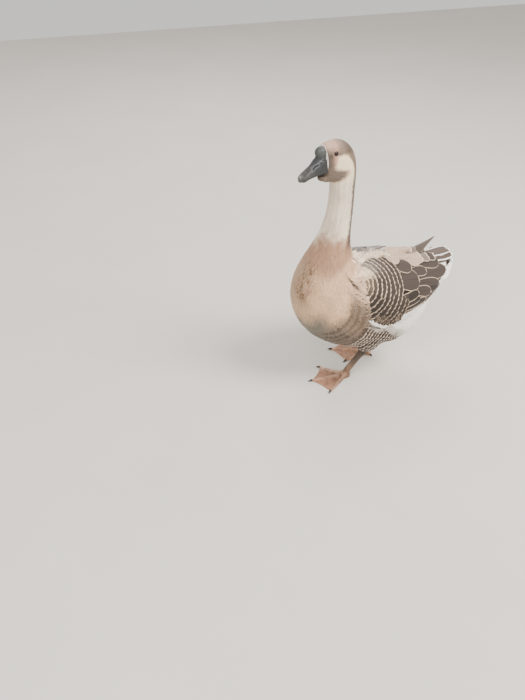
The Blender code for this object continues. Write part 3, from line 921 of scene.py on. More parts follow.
def leg_mesh(side):
    """One leg from hock to claws as a fine closed surface with scutes along toes and shank."""
    obj = joined("leg_" + side, ["shank_" + side, "foot_" + side])
    obj = remeshed(obj, voxel=0.00095, smoothing=4)
    co, out = coordinates(obj.data), normals(obj.data)
    flat = co[:, :2] - (LEGS[side][0] + SHIFT)[:2]
    height, radial = co[:, 2], np.linalg.norm(flat, axis=1)
    scute, shade, claw, pale = np.zeros((4, len(co)))
    for angle, length, ahead, across in toes(side):
        along, off = flat @ ahead[:2], flat @ across[:2]
        on_toe = bell(off, 0.0052) * ramp(along, 0.004, 0.012) * (along < length + 0.004)
        on_toe = on_toe * ramp(out[:, 2], 0.1, 0.5)
        ridge = np.abs(np.sin(along * math.pi / 0.0034 + off * off * 9000))
        scute += on_toe * (ridge ** 0.5 - 0.6) * 0.0009
        shade = np.maximum(shade, on_toe)
        # the leading toe, painted paler below as a painted highlight along its upper side
        if angle == (-45 if side == "left" else 42):
            pale = on_toe
        claw = np.maximum(claw, (np.abs(off) < 0.006) * ramp(along, length - 0.0005, length + 0.0015))
    web = ramp(out[:, 2], 0.6, 0.9) * (1 - shade) * ramp(0.012 - height, 0, 0.004)
    wrinkle = np.sin(radial * 2100 + 2 * wobble(co, 260.0)) * 0.00018
    rings = ramp(height, 0.014, 0.024)
    ridge = np.abs(np.sin(height * math.pi / 0.0036 + 0.6 * np.sin(np.arctan2(flat[:, 1], flat[:, 0]) * 2)))
    shift = scute + web * wrinkle + rings * (ridge ** 0.5 - 0.6) * 0.0005
    shift *= ramp(height, 0.0008, 0.003)
    set_coordinates(obj.data, co + out * shift[:, None])
    # painted shade: the shank darkens upwards towards the belly; the same dark tone also gives random dirt
    # below
    shank_shade = ramp(height, 0.012, 0.05)
    unshaded = 1 - shank_shade
    tone = painted(
        LEG_ORANGE,
        (LEG_DIRT_AND_SHADE, 0.85 * shank_shade),
        (linear(206, 152, 122), 0.5 * ramp(radial, 0.035, 0.075) * unshaded),
        (linear(206, 160, 132), 0.5 * shade * unshaded),
        (linear(150, 106, 82), 0.6 * web),
        # painted highlight on the leading toe
        (linear(244, 202, 170), 0.95 * pale * unshaded),
        (LEG_DIRT_AND_SHADE, 0.35 * ramp(wobble(co, 170.0, 3.0), 0.0, 0.6)))
    # painted light: the near foot is darkened towards its middle as painted shade, and the far foot is
    # painted brighter
    light = 1 - 0.25 * ramp(0.070 - radial, 0, 0.045) if side == "left" else 1.28
    tone = tone * (light * unshaded + shank_shade)[:, None]
    return obj, mix(tone, linear(52, 45, 40), claw)


def lid_ring(word, sign):
    """Bare rim of the eyelids, a little taller than deep and thicker above."""
    axis = EYE_AXES[word]
    ahead = HEAD_AHEAD - axis * (HEAD_AHEAD @ axis)
    ahead /= np.linalg.norm(ahead)
    upward = np.cross(ahead, axis) * sign
    bm = bmesh.new()
    rings = []
    for i in range(56):
        a = 2 * math.pi * i / 56
        over = max(math.sin(a), 0)
        out = ahead * math.cos(a) * 0.0047 + upward * math.sin(a) * (0.0041 - 0.0003 * over)
        radius = np.linalg.norm(out)
        out = out / radius
        base = EYES[word] + out * radius + axis * math.sqrt(max(EYE_RADIUS ** 2 - radius ** 2, 0))
        thick = 0.00080 + 0.00035 * over + 0.00002 * math.sin(a * 17)
        rings.append([bm.verts.new(base + (out * math.cos(b) + axis * math.sin(b)) * thick
                                   + out * 0.0003) for b in np.linspace(0, 2 * math.pi, 10, endpoint=False)])
    join_rings(bm, rings + rings[:1])
    bmesh.ops.recalc_face_normals(bm, faces=bm.faces)
    mesh = mesh_from(bm, "lid")
    set_colour(mesh, "tone", linear(54, 41, 34))
    set_value(mesh, "bare", 0.3)
    return add_object("lid_" + word, mesh)


def joined_skin():
    """Skin of the body, both legs and the eyelids as one piece."""
    guide_copy = add_object("body_skin", guide.data.copy())
    set_coordinates(guide_copy.data, skin_co)
    set_colour(guide_copy.data, "tone", skin_tone)
    set_value(guide_copy.data, "bare", 0.0)
    parts = [guide_copy]
    for side in ("left", "right"):
        obj, tone = leg_mesh(side)
        set_colour(obj.data, "tone", tone)
        set_value(obj.data, "bare", 1.0)
        parts.append(obj)
    for word, sign in (("left", 1), ("right", -1)):
        parts.append(lid_ring(word, sign))
    bm = bmesh.new()
    for part in parts:
        bm.from_mesh(part.data)
    mesh = mesh_from(bm, "skin")
    for part in parts:
        bpy.data.objects.remove(part)
    mesh.shade_smooth()
    mesh.materials.append(skin_material())
    skin = add_object("skin", mesh)
    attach(skin, "root")
    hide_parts(*BODY_NODES, "shank_left", "shank_right", "foot_left", "foot_right")


joined_skin()


# ---- coat of small feathers ----------------------------------------------
WING_ARCS = (-0.0861, 47.8)         # the shoulder, round which the rows of coverts run: y, degrees
SHOULDER_SIZE = (0.0085, 0.0048, 0.0025)    # length, width and spacing of feathers there
# the visible wing's lower edge: y, degrees from upright
WING_EDGE = np.array(((-0.0687, 88.8), (-0.045, 97.5), (-0.021, 104), (0.0014, 102.5), (0.03, 98.5),
                      (0.08, 91.5), (0.1261, 83.5), (0.1484, 79.5), (0.1677, 74.5), (0.1889, 61)))
FLANK_TOP = np.array((-0.0606, 109.0))      # where the flank's rows bend round
FLANK_WAY = np.array((-0.33, 0.944))        # and the way that they run down from there


def wing_edge(y):
    """Angle of the visible wing's lower edge at y."""
    return np.interp(y, WING_EDGE[:, 0], WING_EDGE[:, 1])


def vaned(p):
    """Whether points belong to the wing's rows of drawn feathers."""
    far, turn = fan_of(p, WING_ARCS)
    y, angle = chart_of(p)
    return on_wing(p, 0.010, 2) & (turn > -44) & (far > 0.0175) & (y > -0.071) & (angle < wing_edge(y) - 1.5)


def flank_row(p):
    """Distance from the line round which the flank's rows are nested, and how far rearward of it."""
    y, angle = chart_of(p)
    d = np.stack((y - FLANK_TOP[0], (angle - FLANK_TOP[1]) * METRES_PER_DEGREE), -1)
    along = np.clip(d @ FLANK_WAY, 0, None)
    off = d - along[..., None] * FLANK_WAY
    return np.hypot(off[..., 0], off[..., 1]), off[..., 0]


def flank_limit(angle):
    """How far the flank's rows reach at an angle from upright."""
    return 0.064 + 0.0033 * np.maximum(angle - 112, 0)


def in_flank(p, t):
    """Whether points belong to the flank's rows of drawn feathers."""
    far, rearward = flank_row(p)
    y, angle = chart_of(p)
    inside = (rearward > 0) & (far < 0.118) & (angle > wing_edge(y) + 1) & (t > 5.2) & (t < 9.4)
    return inside & (far < flank_limit(angle) - 0.004) & (angle < 152)


def body_patch(t, phi):
    """Small patch of the bake's map for a place on the body."""
    return 0.01 + 0.96 * (phi / (2 * math.pi)), 0.005 + 0.97 * t / FACE, 0.003, 0.003


def size_at(t):
    """Length, width and spacing of the small feathers along the body."""
    places = (0, 4, 8, 11, 12.5, 15, 16.5, 18, 20)
    length = np.interp(t, places, (0.016, 0.017, 0.0135, 0.0115, 0.0105, 0.0095, 0.0068, 0.0044, 0.0034))
    width = np.interp(t, places, (0.008, 0.0085, 0.0066, 0.0046, 0.0034, 0.0026, 0.0021, 0.0015, 0.0013))
    space = np.interp(t, places, (0.0038, 0.0039, 0.0033, 0.0026, 0.0021, 0.00165, 0.00125, 0.00095, 0.00085))
    return length, width, space


def weight_of(p):
    """How densely small feathers stand at points p."""
    t, _, _ = BODY.at(p)
    return 1 / size_at(t)[2] ** 2


def near_eye(p, lie, t):
    """Whether a feather rooted at p would cover an eye."""
    near = np.zeros(len(p), bool)
    for word, centre in EYES.items():
        for share in (0.0, 0.4, 0.8):
            d = p + lie * 0.0036 * share - centre
            flat = d - (d @ EYE_AXES[word])[:, None] * EYE_AXES[word]
            near |= (np.linalg.norm(flat, axis=1) < 0.0050) & (np.linalg.norm(d, axis=1) < 0.02)
    return near & (t > 16)


def lay_coat(name, low, high, rows, count):
    """Small feathers of the body from t = low to high, thinned from count random roots."""
    points = scatter(guide.data, weight_of, count)
    t, phi, lie = BODY.at(points)
    keep = (t >= low) & (t < high) & ~vaned(points) & ~in_flank(points, t) & ~near_eye(points, lie, t)
    points, t, phi, lie = points[keep], t[keep], phi[keep], lie[keep]
    far, _ = fan_of(points, WING_ARCS)
    small = ramp(0.034 - far, 0, 0.010) * (t < 10)
    sizes = np.array(size_at(t)) * (1 - small) + np.array(SHOULDER_SIZE)[:, None] * small
    kept = thin_out(points, sizes[2])
    points, t, phi, lie, far = points[kept], t[kept], phi[kept], lie[kept], far[kept]
    length, width, _ = sizes[:, kept]
    tone = plumage(points, t, phi)
    depth = coat_depth(t)
    # feathers round the shoulder lie over the wing's edge
    y, angle = chart_of(points)
    front = ramp(-y, 0.062, 0.068) * ramp(y, -0.115, -0.078) * (angle > 36) * (angle < 92)
    lift = np.maximum(0.0036 * ramp(0.026 - far, 0, 0.006), 0.0038 * front) * (t < 10)
    length = length * (1 - 0.30 * ramp(lift, 0.0005, 0.002) * (far > 0.03))
    high_tip = np.interp(t, (11, 13), (0.0006, 0.00035))
    ruffled = stained_patch(t, phi)
    coat = Feathers(rows, 2, blunt=0.45)
    for k, point in enumerate(points):
        turn = rng.normal(0, 0.10) * (1 + 4.5 * ruffled[k])
        shade = tone[k] * (1 + rng.normal(0, 0.05) * (1 + 2 * ruffled[k]))
        long = length[k] * rng.uniform(0.85, 1.15)
        wide = width[k] * rng.uniform(0.9, 1.1)
        tip = rng.uniform(0.0001, high_tip[k]) * (1 + 5 * ruffled[k]) + lift[k]
        coat.lay(point, lie[k], long, wide, shade, np.minimum(shade * 1.16, 0.9), 0.10,
                 (-0.92 * depth[k] + 0.5 * lift[k], tip), camber=0.16,
                 patch=body_patch(t[k], phi[k]), bend=turn)
    coat.piece(name, COAT_MATERIAL)


COAT_MATERIAL = plume_material("small_feathers", barbs=30.0)
# name, from and to along the body, rows of faces in a feather, random roots
lay_coat("head_feathers", 17.3, 19.93, 3, 130000)
lay_coat("nape_feathers", 15.4, 17.3, 3, 130000)
lay_coat("neck_feathers", 12.2, 15.4, 4, 130000)
lay_coat("throat_feathers", 10.8, 12.2, 4, 120000)
lay_coat("breast_feathers", 9.2, 10.8, 4, 120000)
lay_coat("belly_feathers", 7.2, 9.2, 5, 120000)
lay_coat("body_feathers", 0.0, 7.2, 5, 90000)

# ---- ruffled tufts on the back -------------------------------------------
TUFTS = 420
tufts = Feathers(6, 2, blunt=0.45)
for _ in range(TUFTS):
    side = 1 if rng.random() < 0.82 else -1
    y = rng.uniform(-0.088, 0.040)
    angle = side * rng.triangular(1, 8, np.interp(y, (-0.09, -0.05, 0.0, 0.04), (26, 21, 14, 11)))
    place = surface.outside(y, angle, 1)
    if place is None or place.z > 0.338 or place.z < 0.28:
        continue
    near = ramp(0.040 - y, 0, 0.03) * ramp(y, -0.085, -0.06)
    turn = rng.normal(0, 0.5)
    lie = Vector((math.sin(turn), math.cos(turn), 0))
    t, phi, _ = BODY.at(np.array(place)[None])
    tone = (OFF_WHITE, RUFFLED, linear(206, 186, 168), OFF_WHITE)[rng.integers(4)]
    if side < 0:
        tone = linear(138, 133, 130)
        near = 0.0
    tufts.lay(place, lie, rng.uniform(0.013, 0.019), rng.uniform(0.006, 0.009),
              tone * rng.uniform(0.92, 1.06), OFF_WHITE, 0.06,
              (-0.002, 0.0015 + 0.0035 * near * rng.random()), camber=0.35,
              patch=body_patch(t[0], phi[0]), hold=0.5, bend=rng.normal(0, 0.4),
              curl=0.0050 * near * rng.random())
tufts.piece("back_tufts", COAT_MATERIAL)

# ---- white band round the bill -------------------------------------------
band = Feathers(4, 2, blunt=0.50)
BILL_CENTRE = (body_point(FACE, 0.0) + body_point(FACE, math.pi)) / 2
for share in (0.60, 0.65, 0.70, 0.75, 0.81, 0.87, 0.93, 1.0):
    for phi in np.linspace(0, 2 * math.pi, 150, endpoint=False) + rng.uniform(0, 0.04):
        edge = body_point(FACE, phi)
        root = BILL_CENTRE + (edge - BILL_CENTRE) * share
        thick = float(ramp(root[2], 0.546, 0.580))
        white = share < 0.85 + 0.06 * thick + rng.normal(0, 0.012) and root[2] > 0.5465
        tone = WHITE if white else plumage(edge[None], np.array([float(FACE)]), np.array([phi]))[0]
        band.lay(root, edge - BILL_CENTRE, rng.uniform(0.0024, 0.0032), 0.0016,
                 tone * rng.uniform(0.92, 1.04), tone, 0.1,
                 (0.0001, 0.0010 + 0.0004 * white + rng.uniform(0, 0.0003)), camber=0.2,
                 patch=body_patch(FACE, phi % (2 * math.pi)), bend=rng.normal(0, 0.12))
band.piece("bill_band", COAT_MATERIAL)


# ---- large feathers of wings, flanks and tail ----------------------------
def on_side(y, angle, side):
    """Point of the outside at y and degrees from upright, on the left (1) or right (-1)."""
    place = surface.outside(y, angle, side)
    if place is None or y > 0.17:
        height, wide, tall, _, _ = wing_row(y)
        way = math.radians(angle)
        return np.array((side * wide * math.sin(way), y, height + tall * math.cos(way)))
    return np.array(place)


# root and tip (y, degrees from upright), width, tone, thickness of the rim; each over those before
LARGE = (
    ((0.0950, 60), (0.1985, 60), 0.016, "black", 0.0000),
    ((0.0950, 68), (0.1900, 66), 0.016, "black", 0.0000),
    ((0.0158, 99.5), (0.1677, 73.5), 0.014, "black", 0.0012),
    ((-0.0003, 100.0), (0.1484, 78.5), 0.017, "dark", 0.0013),
    ((-0.0177, 96.0), (0.1300, 82.0), 0.019, "dark", 0.0013),
    ((-0.0268, 89.5), (0.1047, 85.2), 0.020, "dark", 0.0013),
    ((-0.0273, 84.5), (0.0842, 81.0), 0.021, "dark", 0.0013),
    ((-0.0252, 80.7), (0.0680, 73.3), 0.022, "covert", 0.0013),
    ((0.0792, 73.4), (0.1559, 74.0), 0.024, "dark", 0.0010),
    ((0.0779, 60.7), (0.1600, 70.0), 0.026, "mauve", 0.0012),
    ((0.0864, 52.0), (0.1930, 58.5), 0.040, "mauve", 0.0012),
    ((0.0638, 69.3), (0.1230, 78.1), 0.028, "mauve", 0.0013),
    ((0.0780, 12.0), (0.1680, 17.0), 0.034, "mauve", 0.0013),
    ((0.0800, 26.0), (0.1740, 35.5), 0.040, "mauve", 0.0013),
    ((0.0680, 43.5), (0.1200, 45.0), 0.028, "mauve", 0.0013),
    ((0.0550, 8.0), (0.1150, 31.0), 0.050, "beige", 0.0013),
    ((0.0300, 8.0), (0.0900, 15.0), 0.034, "beige", 0.0013),
    ((0.0180, 79.0), (0.0760, 72.5), 0.024, "dark", 0.0012),
    ((0.0180, 53.0), (0.0850, 56.8), 0.056, "mauve", 0.0015),
    ((0.0200, 24.0), (0.0760, 39.0), 0.044, "mauve", 0.0014),
    ((0.0000, 19.0), (0.0520, 24.0), 0.032, "beige", 0.0014),
)
MOTTLES = 90
TONES = {"black": linear(34, 29, 26), "dark": DARK, "covert": COVERT, "mauve": MAUVE,
         "beige": linear(184, 158, 136), "grey": UPPER_GREY}


def lay_wing(side, word):
    """Long feathers of the folded wing, rows of coverts over them, and mottles along the lower edge."""
    wing = Feathers(10, 6, blunt=0.66, across=5)
    for order, (root, tip, width, tone, rim) in enumerate(LARGE):
        if side < 0 and root[1] < 20:
            tone = "grey" if root[0] < 0.03 else "beige"
        start, end = on_side(*root, side), on_side(*tip, side)
        length = np.linalg.norm(end - start)
        wing.draw(start, end, width, TONES[tone] * rng.uniform(0.92, 1.08), RIM_CREAM, rim / length,
                  (-0.0035, 0.0006 + 0.00026 * order), camber=0.03)
    wing.piece("wing_long_" + word, VANE_MATERIAL)
    # rows of coverts in arcs round the shoulder
    coverts = Feathers(6, 5, blunt=0.80, across=26)
    for row in range(-1, 11):
        reach = 0.0300 + 0.0115 * row
        width = 0.0165 + 0.0004 * row
        length = 0.026 + 0.0006 * row
        turn = -46 + rng.uniform(0, 6)
        while turn < 96:
            way = math.radians(turn)
            out = np.array((math.cos(way), math.sin(way) / METRES_PER_DEGREE))
            tip = WING_ARCS + (reach + rng.normal(0, 0.0009)) * out
            turn += math.degrees(width * (0.60 if row < 7 else 0.52) / reach) * rng.uniform(0.9, 1.1)
            past_edge = tip[0] < -0.072 or tip[1] > wing_edge(tip[0]) + 0.5
            if past_edge or (row > 8 and not 30 < turn < 80) or (row > 6 and turn < -25):
                continue
            root = WING_ARCS + (reach - length * rng.uniform(0.92, 1.08)) * out
            start, end = on_side(*root, side), on_side(*tip, side)
            upper = float(ramp(-turn, -12, 30))
            lower = float(ramp(turn, 25, 60))
            pale = float(ramp(-turn, -12, 14)) * float(ramp(3.4 - row, 0, 2))
            shade = painted(
                COVERT,
                (LAVENDER, upper * max(1 - 0.14 * max(row, 0), 0)),
                (DARK, lower),
                (linear(132, 112, 92), max(0.75 - 0.3 * row, 0) * (1 - 0.5 * lower)),
                (CREAM, 0.9 * pale)) * rng.uniform(0.9, 1.1)
            rim = mix(RIM_CREAM, RIM_DULL, 0.7 * lower)
            if side < 0:
                hidden = float(ramp(44 - tip[1], 0, 12))
                shade = mix(shade, UPPER_GREY, 0.9 * hidden)
                rim = mix(rim, UPPER_GREY * 1.2, 0.8 * hidden)
            rim_width = rng.uniform(0.0023, 0.0031) * (1 - 0.055 * max(row - 1, 0)) / length
            coverts.draw(start, end, width, shade, rim, rim_width,
                         (-0.0030, 0.0026 + 0.00006 * row + rng.uniform(0, 0.0005)), camber=0.06, sides=0.3)
    # mottled small feathers along the lower front edge
    for _ in range(MOTTLES):
        y = rng.uniform(-0.062, 0.012)
        angle = wing_edge(y) - rng.uniform(-1, 7) * float(ramp(y, -0.07, -0.03))
        start = on_side(y, angle, side)
        end = on_side(y + 0.012, min(angle + rng.uniform(-4, 1), wing_edge(y + 0.012)), side)
        shade = (DARK, COVERT, linear(70, 56, 45), DARK, linear(80, 69, 60))[rng.integers(5)]
        shade = shade * rng.uniform(0.9, 1.1)
        rim = mix(RIM_DULL, shade, rng.uniform(0.0, 0.8))
        coverts.draw(start, end, 0.0075, shade, rim, rng.uniform(0.07, 0.13),
                     (-0.0020, 0.0034 + rng.uniform(0, 0.0010)), camber=0.05, sides=0.5)
    coverts.piece("wing_coverts_" + word, VANE_MATERIAL)


def lay_flank(side, word):
    """Rows nested round the flank's top, running down and forward under the belly."""
    flank = Feathers(6, 5, blunt=0.78, across=20)
    width, length = 0.0185, 0.026
    rearward = np.array((FLANK_WAY[1], -FLANK_WAY[0]))
    for row in range(13):
        reach = 0.007 + 0.0096 * row
        spots = []
        for turn in np.radians(np.arange(-75, 20, math.degrees(width * 0.55 / max(reach, 0.012)))):
            spots.append((np.zeros(2), np.array((math.cos(turn), math.sin(turn)))))
        for down in np.arange(0.004, 0.088, width * 0.55):
            spots.append((FLANK_WAY * (down + rng.uniform(-0.001, 0.001)), rearward))
        for offset, out in spots:
            way = out + rng.normal(0, 0.04, 2)
            tip = FLANK_TOP + (offset + out * reach) / (1, METRES_PER_DEGREE)
            root = FLANK_TOP + (offset + out * reach - way * length) / (1, METRES_PER_DEGREE)
            limit = flank_limit(tip[1])
            if tip[1] < wing_edge(tip[0]) - 3 or reach > limit or tip[1] > 156:
                continue
            start, end = on_side(*root, side), on_side(*tip, side)
            edge = float(ramp(wing_edge(tip[0]) + 14 - tip[1], 0, 7) * ramp(tip[0], -0.062, -0.020))
            edge = max(edge, float(ramp(reach, limit - 0.022, limit - 0.006)) * 0.9)
            shade = painted(linear(80, 67, 57), (FLANK, ramp(reach, 0.02, 0.05)), (WHITE, 0.60 * edge))
            shade = shade * rng.uniform(0.92, 1.08)
            rim_width = rng.uniform(0.0018, 0.0027) / length
            high = 0.0014 + 0.0030 * edge - 0.00004 * row + rng.uniform(0, 0.0004)
            flank.draw(start, end, width, shade, linear(218, 200, 180), rim_width, (-0.0034, high),
                       camber=0.14, sides=0.35)
    # a ragged white border under the wing's lower edge
    for y in np.arange(-0.059, 0.004, 0.0009):
        angle = wing_edge(y) + rng.uniform(0.0, 2.6)
        turn = 0.60 + rng.normal(0, 0.10)
        way = np.array((math.cos(turn), math.sin(turn) / METRES_PER_DEGREE)) * 0.012
        start = on_side(y - way[0], angle - way[1], side)
        end = on_side(y + rng.normal(0, 0.0015), angle, side)
        shade = mix(WHITE, linear(150, 132, 116), rng.uniform(0, 0.35))
        flank.draw(start, end, 0.0055, shade, WHITE, 0.12,
                   (-0.001, 0.0026 + rng.uniform(0, 0.0006)), camber=0.10, sides=0.5)
    flank.piece("flank_" + word, VANE_MATERIAL)


def lay_tail():
    """A fan of straight quills, arched down at the sides, under rows of tail coverts."""
    tail = Feathers(10, 6, blunt=0.80, across=8)
    for share in (-1.0, 1.0, -0.95, 0.95, -0.87, 0.87, -0.76, 0.76, -0.63, 0.63, -0.42, 0.42, -0.14, 0.14):
        wide = abs(share)
        start = np.array((0.021 * share, 0.112, 0.2835 - 0.010 * wide ** 2))
        end = np.array((0.054 * share, 0.2290 - 0.029 * wide ** 3, 0.2805 - 0.040 * wide ** 3))
        up = np.array((2.1 * wide ** 2 * np.sign(share), 0.25, 1))
        rim = 0.0038 + 0.0070 * float(ramp(wide, 0.45, 0.75))
        shade = mix(linear(88, 74, 66), WHITE, ramp(wide, 0.80, 0.95)) * rng.uniform(0.95, 1.05)
        tail.blade(start, end, up, 0.0290, shade, WHITE, rim,
                   offset=0.0004 + 0.0009 * (7 - 6.5 * wide), sag=-0.0055)
    for row, (y, height) in enumerate(((0.172, 0.0074), (0.150, 0.0074), (0.128, 0.0066))):
        for share in np.linspace(-1, 1, 9 - row) + 0.06 * row:
            start = np.array(surface.near(Vector((0.030 * share, y - 0.044, 0.32)))[0])
            end = np.array(surface.near(Vector((0.036 * share, y, 0.32 - 0.02 * abs(share))))[0])
            shade = (MAUVE * 1.3, linear(122, 106, 94), TONES["beige"])[row] * rng.uniform(0.9, 1.1)
            tail.draw(start, end, 0.024, shade, OFF_WHITE, 0.04, (-0.003, height), camber=0.05, sides=0.6)
    tail.piece("tail_feathers", VANE_MATERIAL)


VANE_MATERIAL = plume_material("large_feathers", barbs=150.0)
for side, word in ((1, "left"), (-1, "right")):
    lay_wing(side, word)
    lay_flank(side, word)
lay_tail()


def raised_vane():
    """The one feather that stands up over the rump, pointed and a little twisted."""
    co = coordinates(NODES["raised_feather"].data)
    centre = co.mean(0)
    _, _, axes = np.linalg.svd(co - centre, full_matrices=False)
    length, across = axes[0] * math.copysign(1, axes[0][2]), axes[1]
    face = np.cross(length, across)
    along = (co - centre) @ length
    low, high = along.min(), along.max()
    half = np.abs((co - centre) @ across).max()
    vane = Feathers(22, 8)
    for u in vane.u:
        spine = centre + length * (low + (high - low) * u)
        wide = half * (0.55 + 0.45 * math.sin(min(u / 0.25, 1) * math.pi / 2))
        wide *= 1 - 0.93 * max(u - 0.2, 0) / 0.8
        for v in vane.v:
            arch = face * (0.0012 * (1 - v * v) + 0.0006 * math.sin(5 * u + 2 * v))
            vane.points.append(Vector(spine + across * (wide * v) + arch))
    vane.vanes.append((linear(92, 79, 71), linear(150, 138, 126), 0.03, 0.3, 0.3, (0.05, 0.05, 0.9, 0.9)))
    vane.piece("raised_vane", VANE_MATERIAL, ("raised_feather",))


raised_vane()

# ---- bill ----------------------------------------------------------------
BILL_FORWARD = HEAD_AHEAD * math.cos(BILL_PITCH) - np.array((0, 0, math.sin(BILL_PITCH)))
BILL_UP = np.cross(BILL_FORWARD, HEAD_SIDE)
NOSTRIL = ((0.0215, 0.0050), (0.0370, 0.0022))      # forward and up of its two ends


def relax(mesh, weight, rounds):
    """Draws vertices towards the mean of their neighbours, by weight."""
    co = coordinates(mesh)
    edges = np.zeros(len(mesh.edges) * 2, np.int32)
    mesh.edges.foreach_get("vertices", edges)
    a, b = edges.reshape(-1, 2).T
    ends, others = np.concatenate((a, b)), np.concatenate((b, a))
    degree = np.maximum(np.bincount(ends, minlength=len(co)), 1)
    for _ in range(rounds):
        mean = np.stack([np.bincount(ends, co[others, k], len(co)) for k in range(3)], -1) / degree[:, None]
        co = co + (mean - co) * (0.5 * weight)[:, None]
    set_coordinates(mesh, co)


def bill_part(name, nodes, voxel, upper):
    """Upper or lower half of the bill; the upper one has the nostrils, the nail and the knob."""
    obj = remeshed(joined(name, nodes), voxel, smoothing=9)
    if upper:
        # softens the corner where the knob meets the bill
        d = coordinates(obj.data) - BILL_CENTRE
        ahead, up = d @ BILL_FORWARD, d @ BILL_UP
        weight = ramp(up, 0.006, 0.011) * ramp(0.021 - up, 0, 0.006) * ramp(0.030 - ahead, 0, 0.008)
        relax(obj.data, weight, 160)
    co, out = coordinates(obj.data), normals(obj.data)
    d = co - BILL_CENTRE
    side, ahead, up = d @ HEAD_SIDE, d @ BILL_FORWARD, d @ BILL_UP
    tone = painted(linear(40, 42, 43), (linear(64, 60, 57), 0.7 * ramp(ahead, 0.022, 0.055)))
    if upper:
        a, b = (np.array(end) for end in NOSTRIL)
        flat = np.stack((ahead, up), -1)
        share = np.clip((flat - a) @ (b - a) / ((b - a) @ (b - a)), 0, 1)
        bow = np.stack((share * 0, 0.0012 * np.sin(share * math.pi)), -1)
        far = np.linalg.norm(flat - a - share[:, None] * (b - a) - bow, axis=1)
        sideways = np.abs(out @ HEAD_SIDE) > 0.15
        # painted shadow: the nostril's slit is painted dark as shade in its opening, and pressed in
        slit_shadow = bell(far, 0.00060 + 0.00055 * np.sin(share * math.pi))
        lip = bell(far - 0.0026, 0.0011) * ramp(up, -0.004, 0.004)
        hollow = bell(far, 0.0052)
        nail = ramp(ahead, 0.0610, 0.0625) * ramp(0.0075 - np.abs(side), 0, 0.0012)
        nail = nail * ramp(out @ BILL_UP, -0.2, 0.2)
        creases = np.sin(up * 1500 + ahead * 260 + 1.6 * wobble(co, 160.0))
        creases = creases * ramp(0.010 - up, 0, 0.006) * ramp(0.058 - ahead, 0, 0.01)
        # painted highlight on the nail
        nail_highlight = bell(ahead - 0.067, 0.0025) * bell(side, 0.003)
        knob = ramp(up, 0.012, 0.020) * ramp(0.022 - ahead, 0, 0.01)
        near_face = ramp(ahead, 0.002, 0.008)
        # painted shadow under the knob's front, also pressed in a little
        crescent_shadow = bell(np.hypot(ahead - 0.001, up - 0.0225) - 0.0150, 0.0016) * near_face
        # a raised ridge below the knob, with a painted highlight along it
        ridge = bell(up - 0.0095 - 0.30 * (0.016 - ahead), 0.0012)
        ridge = ridge * ramp(0.024 - ahead, 0, 0.006) * near_face
        shift = (-0.0017 * slit_shadow + 0.0004 * lip - 0.0007 * hollow) * sideways
        shift = shift + 0.0005 * nail + 0.00014 * creases - 0.0008 * crescent_shadow + 0.0005 * ridge
        set_coordinates(obj.data, co + out * shift[:, None])
        tone = painted(
            tone,
            # painted shadow in the nostril's slit
            (linear(20, 22, 26), np.clip(slit_shadow * 1.2, 0, 1) * sideways),
            (linear(104, 106, 108), 0.45 * lip * sideways),
            (linear(74, 72, 70), 0.8 * nail),
            # painted highlight on the nail
            (linear(168, 160, 150), 0.6 * nail_highlight * nail),
            (linear(74, 77, 75), 0.75 * knob),
            # painted shadow under the knob's front
            (linear(34, 36, 38), 0.7 * crescent_shadow),
            # painted highlight along the ridge
            (linear(112, 116, 116), 0.55 * ridge))
    set_colour(obj.data, "tone", tone)
    obj.data.materials.append(BILL_MATERIAL)
    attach(obj, "root")
    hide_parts(*nodes)


BILL_MATERIAL = bill_material()
bill_part("bill_top", ["bill_upper", "knob"], 0.0007, True)
bill_part("bill_bottom", ["bill_lower"], 0.0008, False)

# ---- eyes ----------------------------------------------------------------
EYE_MATERIAL = eye_material()
for word, axis in EYE_AXES.items():
    bm = bmesh.new()
    bmesh.ops.create_uvsphere(bm, u_segments=48, v_segments=32, radius=EYE_RADIUS)
    mesh = mesh_from(bm, "eye")
    local = coordinates(mesh) / EYE_RADIUS
    turned = np.array(Vector((0, 0, 1)).rotation_difference(Vector(axis)).to_matrix())
    polar = np.arccos(np.clip(local[:, 2], -1, 1))
    set_vector(mesh, "vane", np.stack((polar, np.arctan2(local[:, 1], local[:, 0]), polar * 0), -1))
    set_coordinates(mesh, local @ turned.T * EYE_RADIUS + EYES[word])
    mesh.shade_smooth()
    mesh.materials.append(EYE_MATERIAL)
    eye = add_object("eyeball_" + word, mesh)
    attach(eye, "root")
    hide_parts("eye_" + word)


# ---- claws ---------------------------------------------------------------
def claws():
    """Curved claws at the ends of all toes."""
    bm = bmesh.new()
    for side, (place, _) in LEGS.items():
        for _, length, ahead, across in toes(side):
            reach = 0.0112 if length > 0.03 else 0.0070
            rings = []
            for u in np.linspace(0, 1, 9):
                thick = 0.0034 * (1 - u) ** 0.55 + 0.0003
                height = 0.0036 - 0.0016 * u - 0.0012 * u * u
                spine = place + SHIFT + ahead * (length - 0.0005 + reach * u) + np.array((0, 0, height))
                rings.append([bm.verts.new(spine + across * (math.cos(a) * thick * 0.8)
                                           + np.array((0, 0, math.sin(a) * thick * 0.9)))
                              for a in np.linspace(0, 2 * math.pi, 12, endpoint=False)])
            join_rings(bm, rings)
            bm.faces.new(rings[0])
            bm.faces.new(reversed(rings[-1]))
    for vert in bm.verts:
        vert.co.z = max(vert.co.z, 0.0002)
    bmesh.ops.recalc_face_normals(bm, faces=bm.faces)
    mesh = mesh_from(bm, "claws")
    mesh.shade_smooth()
    mesh.materials.append(claw_material())
    obj = add_object("claws", mesh)
    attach(obj, "root")


claws()

# ---- floor, lights, camera -----------------------------------------------
bpy.ops.mesh.primitive_plane_add(size=8, location=(0, 0, 0))
floor = bpy.context.object
floor.name = "floor"
floor.data.materials.append(floor_material())


LIT_PLACE = Vector((0, 0, 0.3))


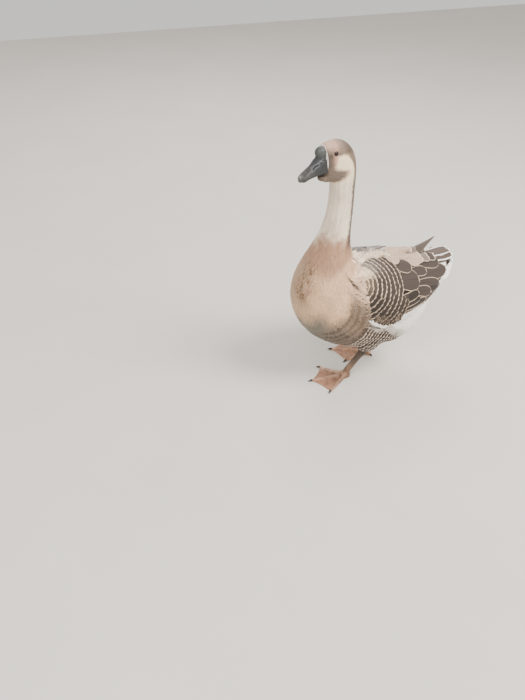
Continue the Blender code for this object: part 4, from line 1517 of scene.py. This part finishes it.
def area_light(name, place, size, power, colour):
    """A round light at a place, turned to the middle of the bird."""
    light = bpy.data.lights.new(name, "AREA")
    light.shape = "DISK"
    light.size = size
    light.energy = power
    light.color = colour
    obj = bpy.data.objects.new(name, light)
    obj.location = place
    obj.rotation_mode = "QUATERNION"
    obj.rotation_quaternion = (LIT_PLACE - Vector(place)).to_track_quat("-Z", "Y")
    bpy.context.scene.collection.objects.link(obj)


area_light("key", (1.6, 1.4, 2.8), 1.8, 180, (1.0, 0.97, 0.93))
area_light("fill", (1.6, -2.2, 2.2), 2.4, 80, (1.0, 0.985, 0.96))
area_light("back", (-2.0, 0.6, 2.4), 1.8, 55, (1.0, 0.98, 0.95))
world = bpy.data.worlds.new("studio")
world.use_nodes = True
colour, strength = world.node_tree.nodes["Background"].inputs[:2]
colour.default_value = (0.90, 0.885, 0.86, 1)
strength.default_value = 0.95
bpy.context.scene.world = world

# The photo's camera: its place, the way it looks, and its focal length in the photo's pixels.
CAMERA_PLACE = (1.5127, -1.0193, 1.18)
CAMERA_PITCH, CAMERA_ROLL = math.radians(32.5), math.radians(1.6)
FOCAL_PIXELS, LONG_SIDE_PIXELS, SENSOR = 829, 700, 36
ahead = Vector((-0.8988, 0.4384, 0))
right = Vector((0.4384, 0.8988, 0))
upright = Vector((0, 0, 1))
forward = math.cos(CAMERA_PITCH) * ahead - math.sin(CAMERA_PITCH) * upright
down = -math.sin(CAMERA_PITCH) * ahead - math.cos(CAMERA_PITCH) * upright
across = math.cos(CAMERA_ROLL) * right - math.sin(CAMERA_ROLL) * down
above = -math.sin(CAMERA_ROLL) * right - math.cos(CAMERA_ROLL) * down
camera = bpy.data.objects.new("camera", bpy.data.cameras.new("camera"))
camera.data.sensor_fit = "AUTO"
camera.data.sensor_width = SENSOR
camera.data.lens = FOCAL_PIXELS / LONG_SIDE_PIXELS * SENSOR
turned = Matrix((across, above, -forward)).transposed().to_4x4()
camera.matrix_world = Matrix.Translation(CAMERA_PLACE) @ turned
bpy.context.scene.collection.objects.link(camera)
bpy.context.scene.camera = camera

bpy.data.objects.remove(guide)
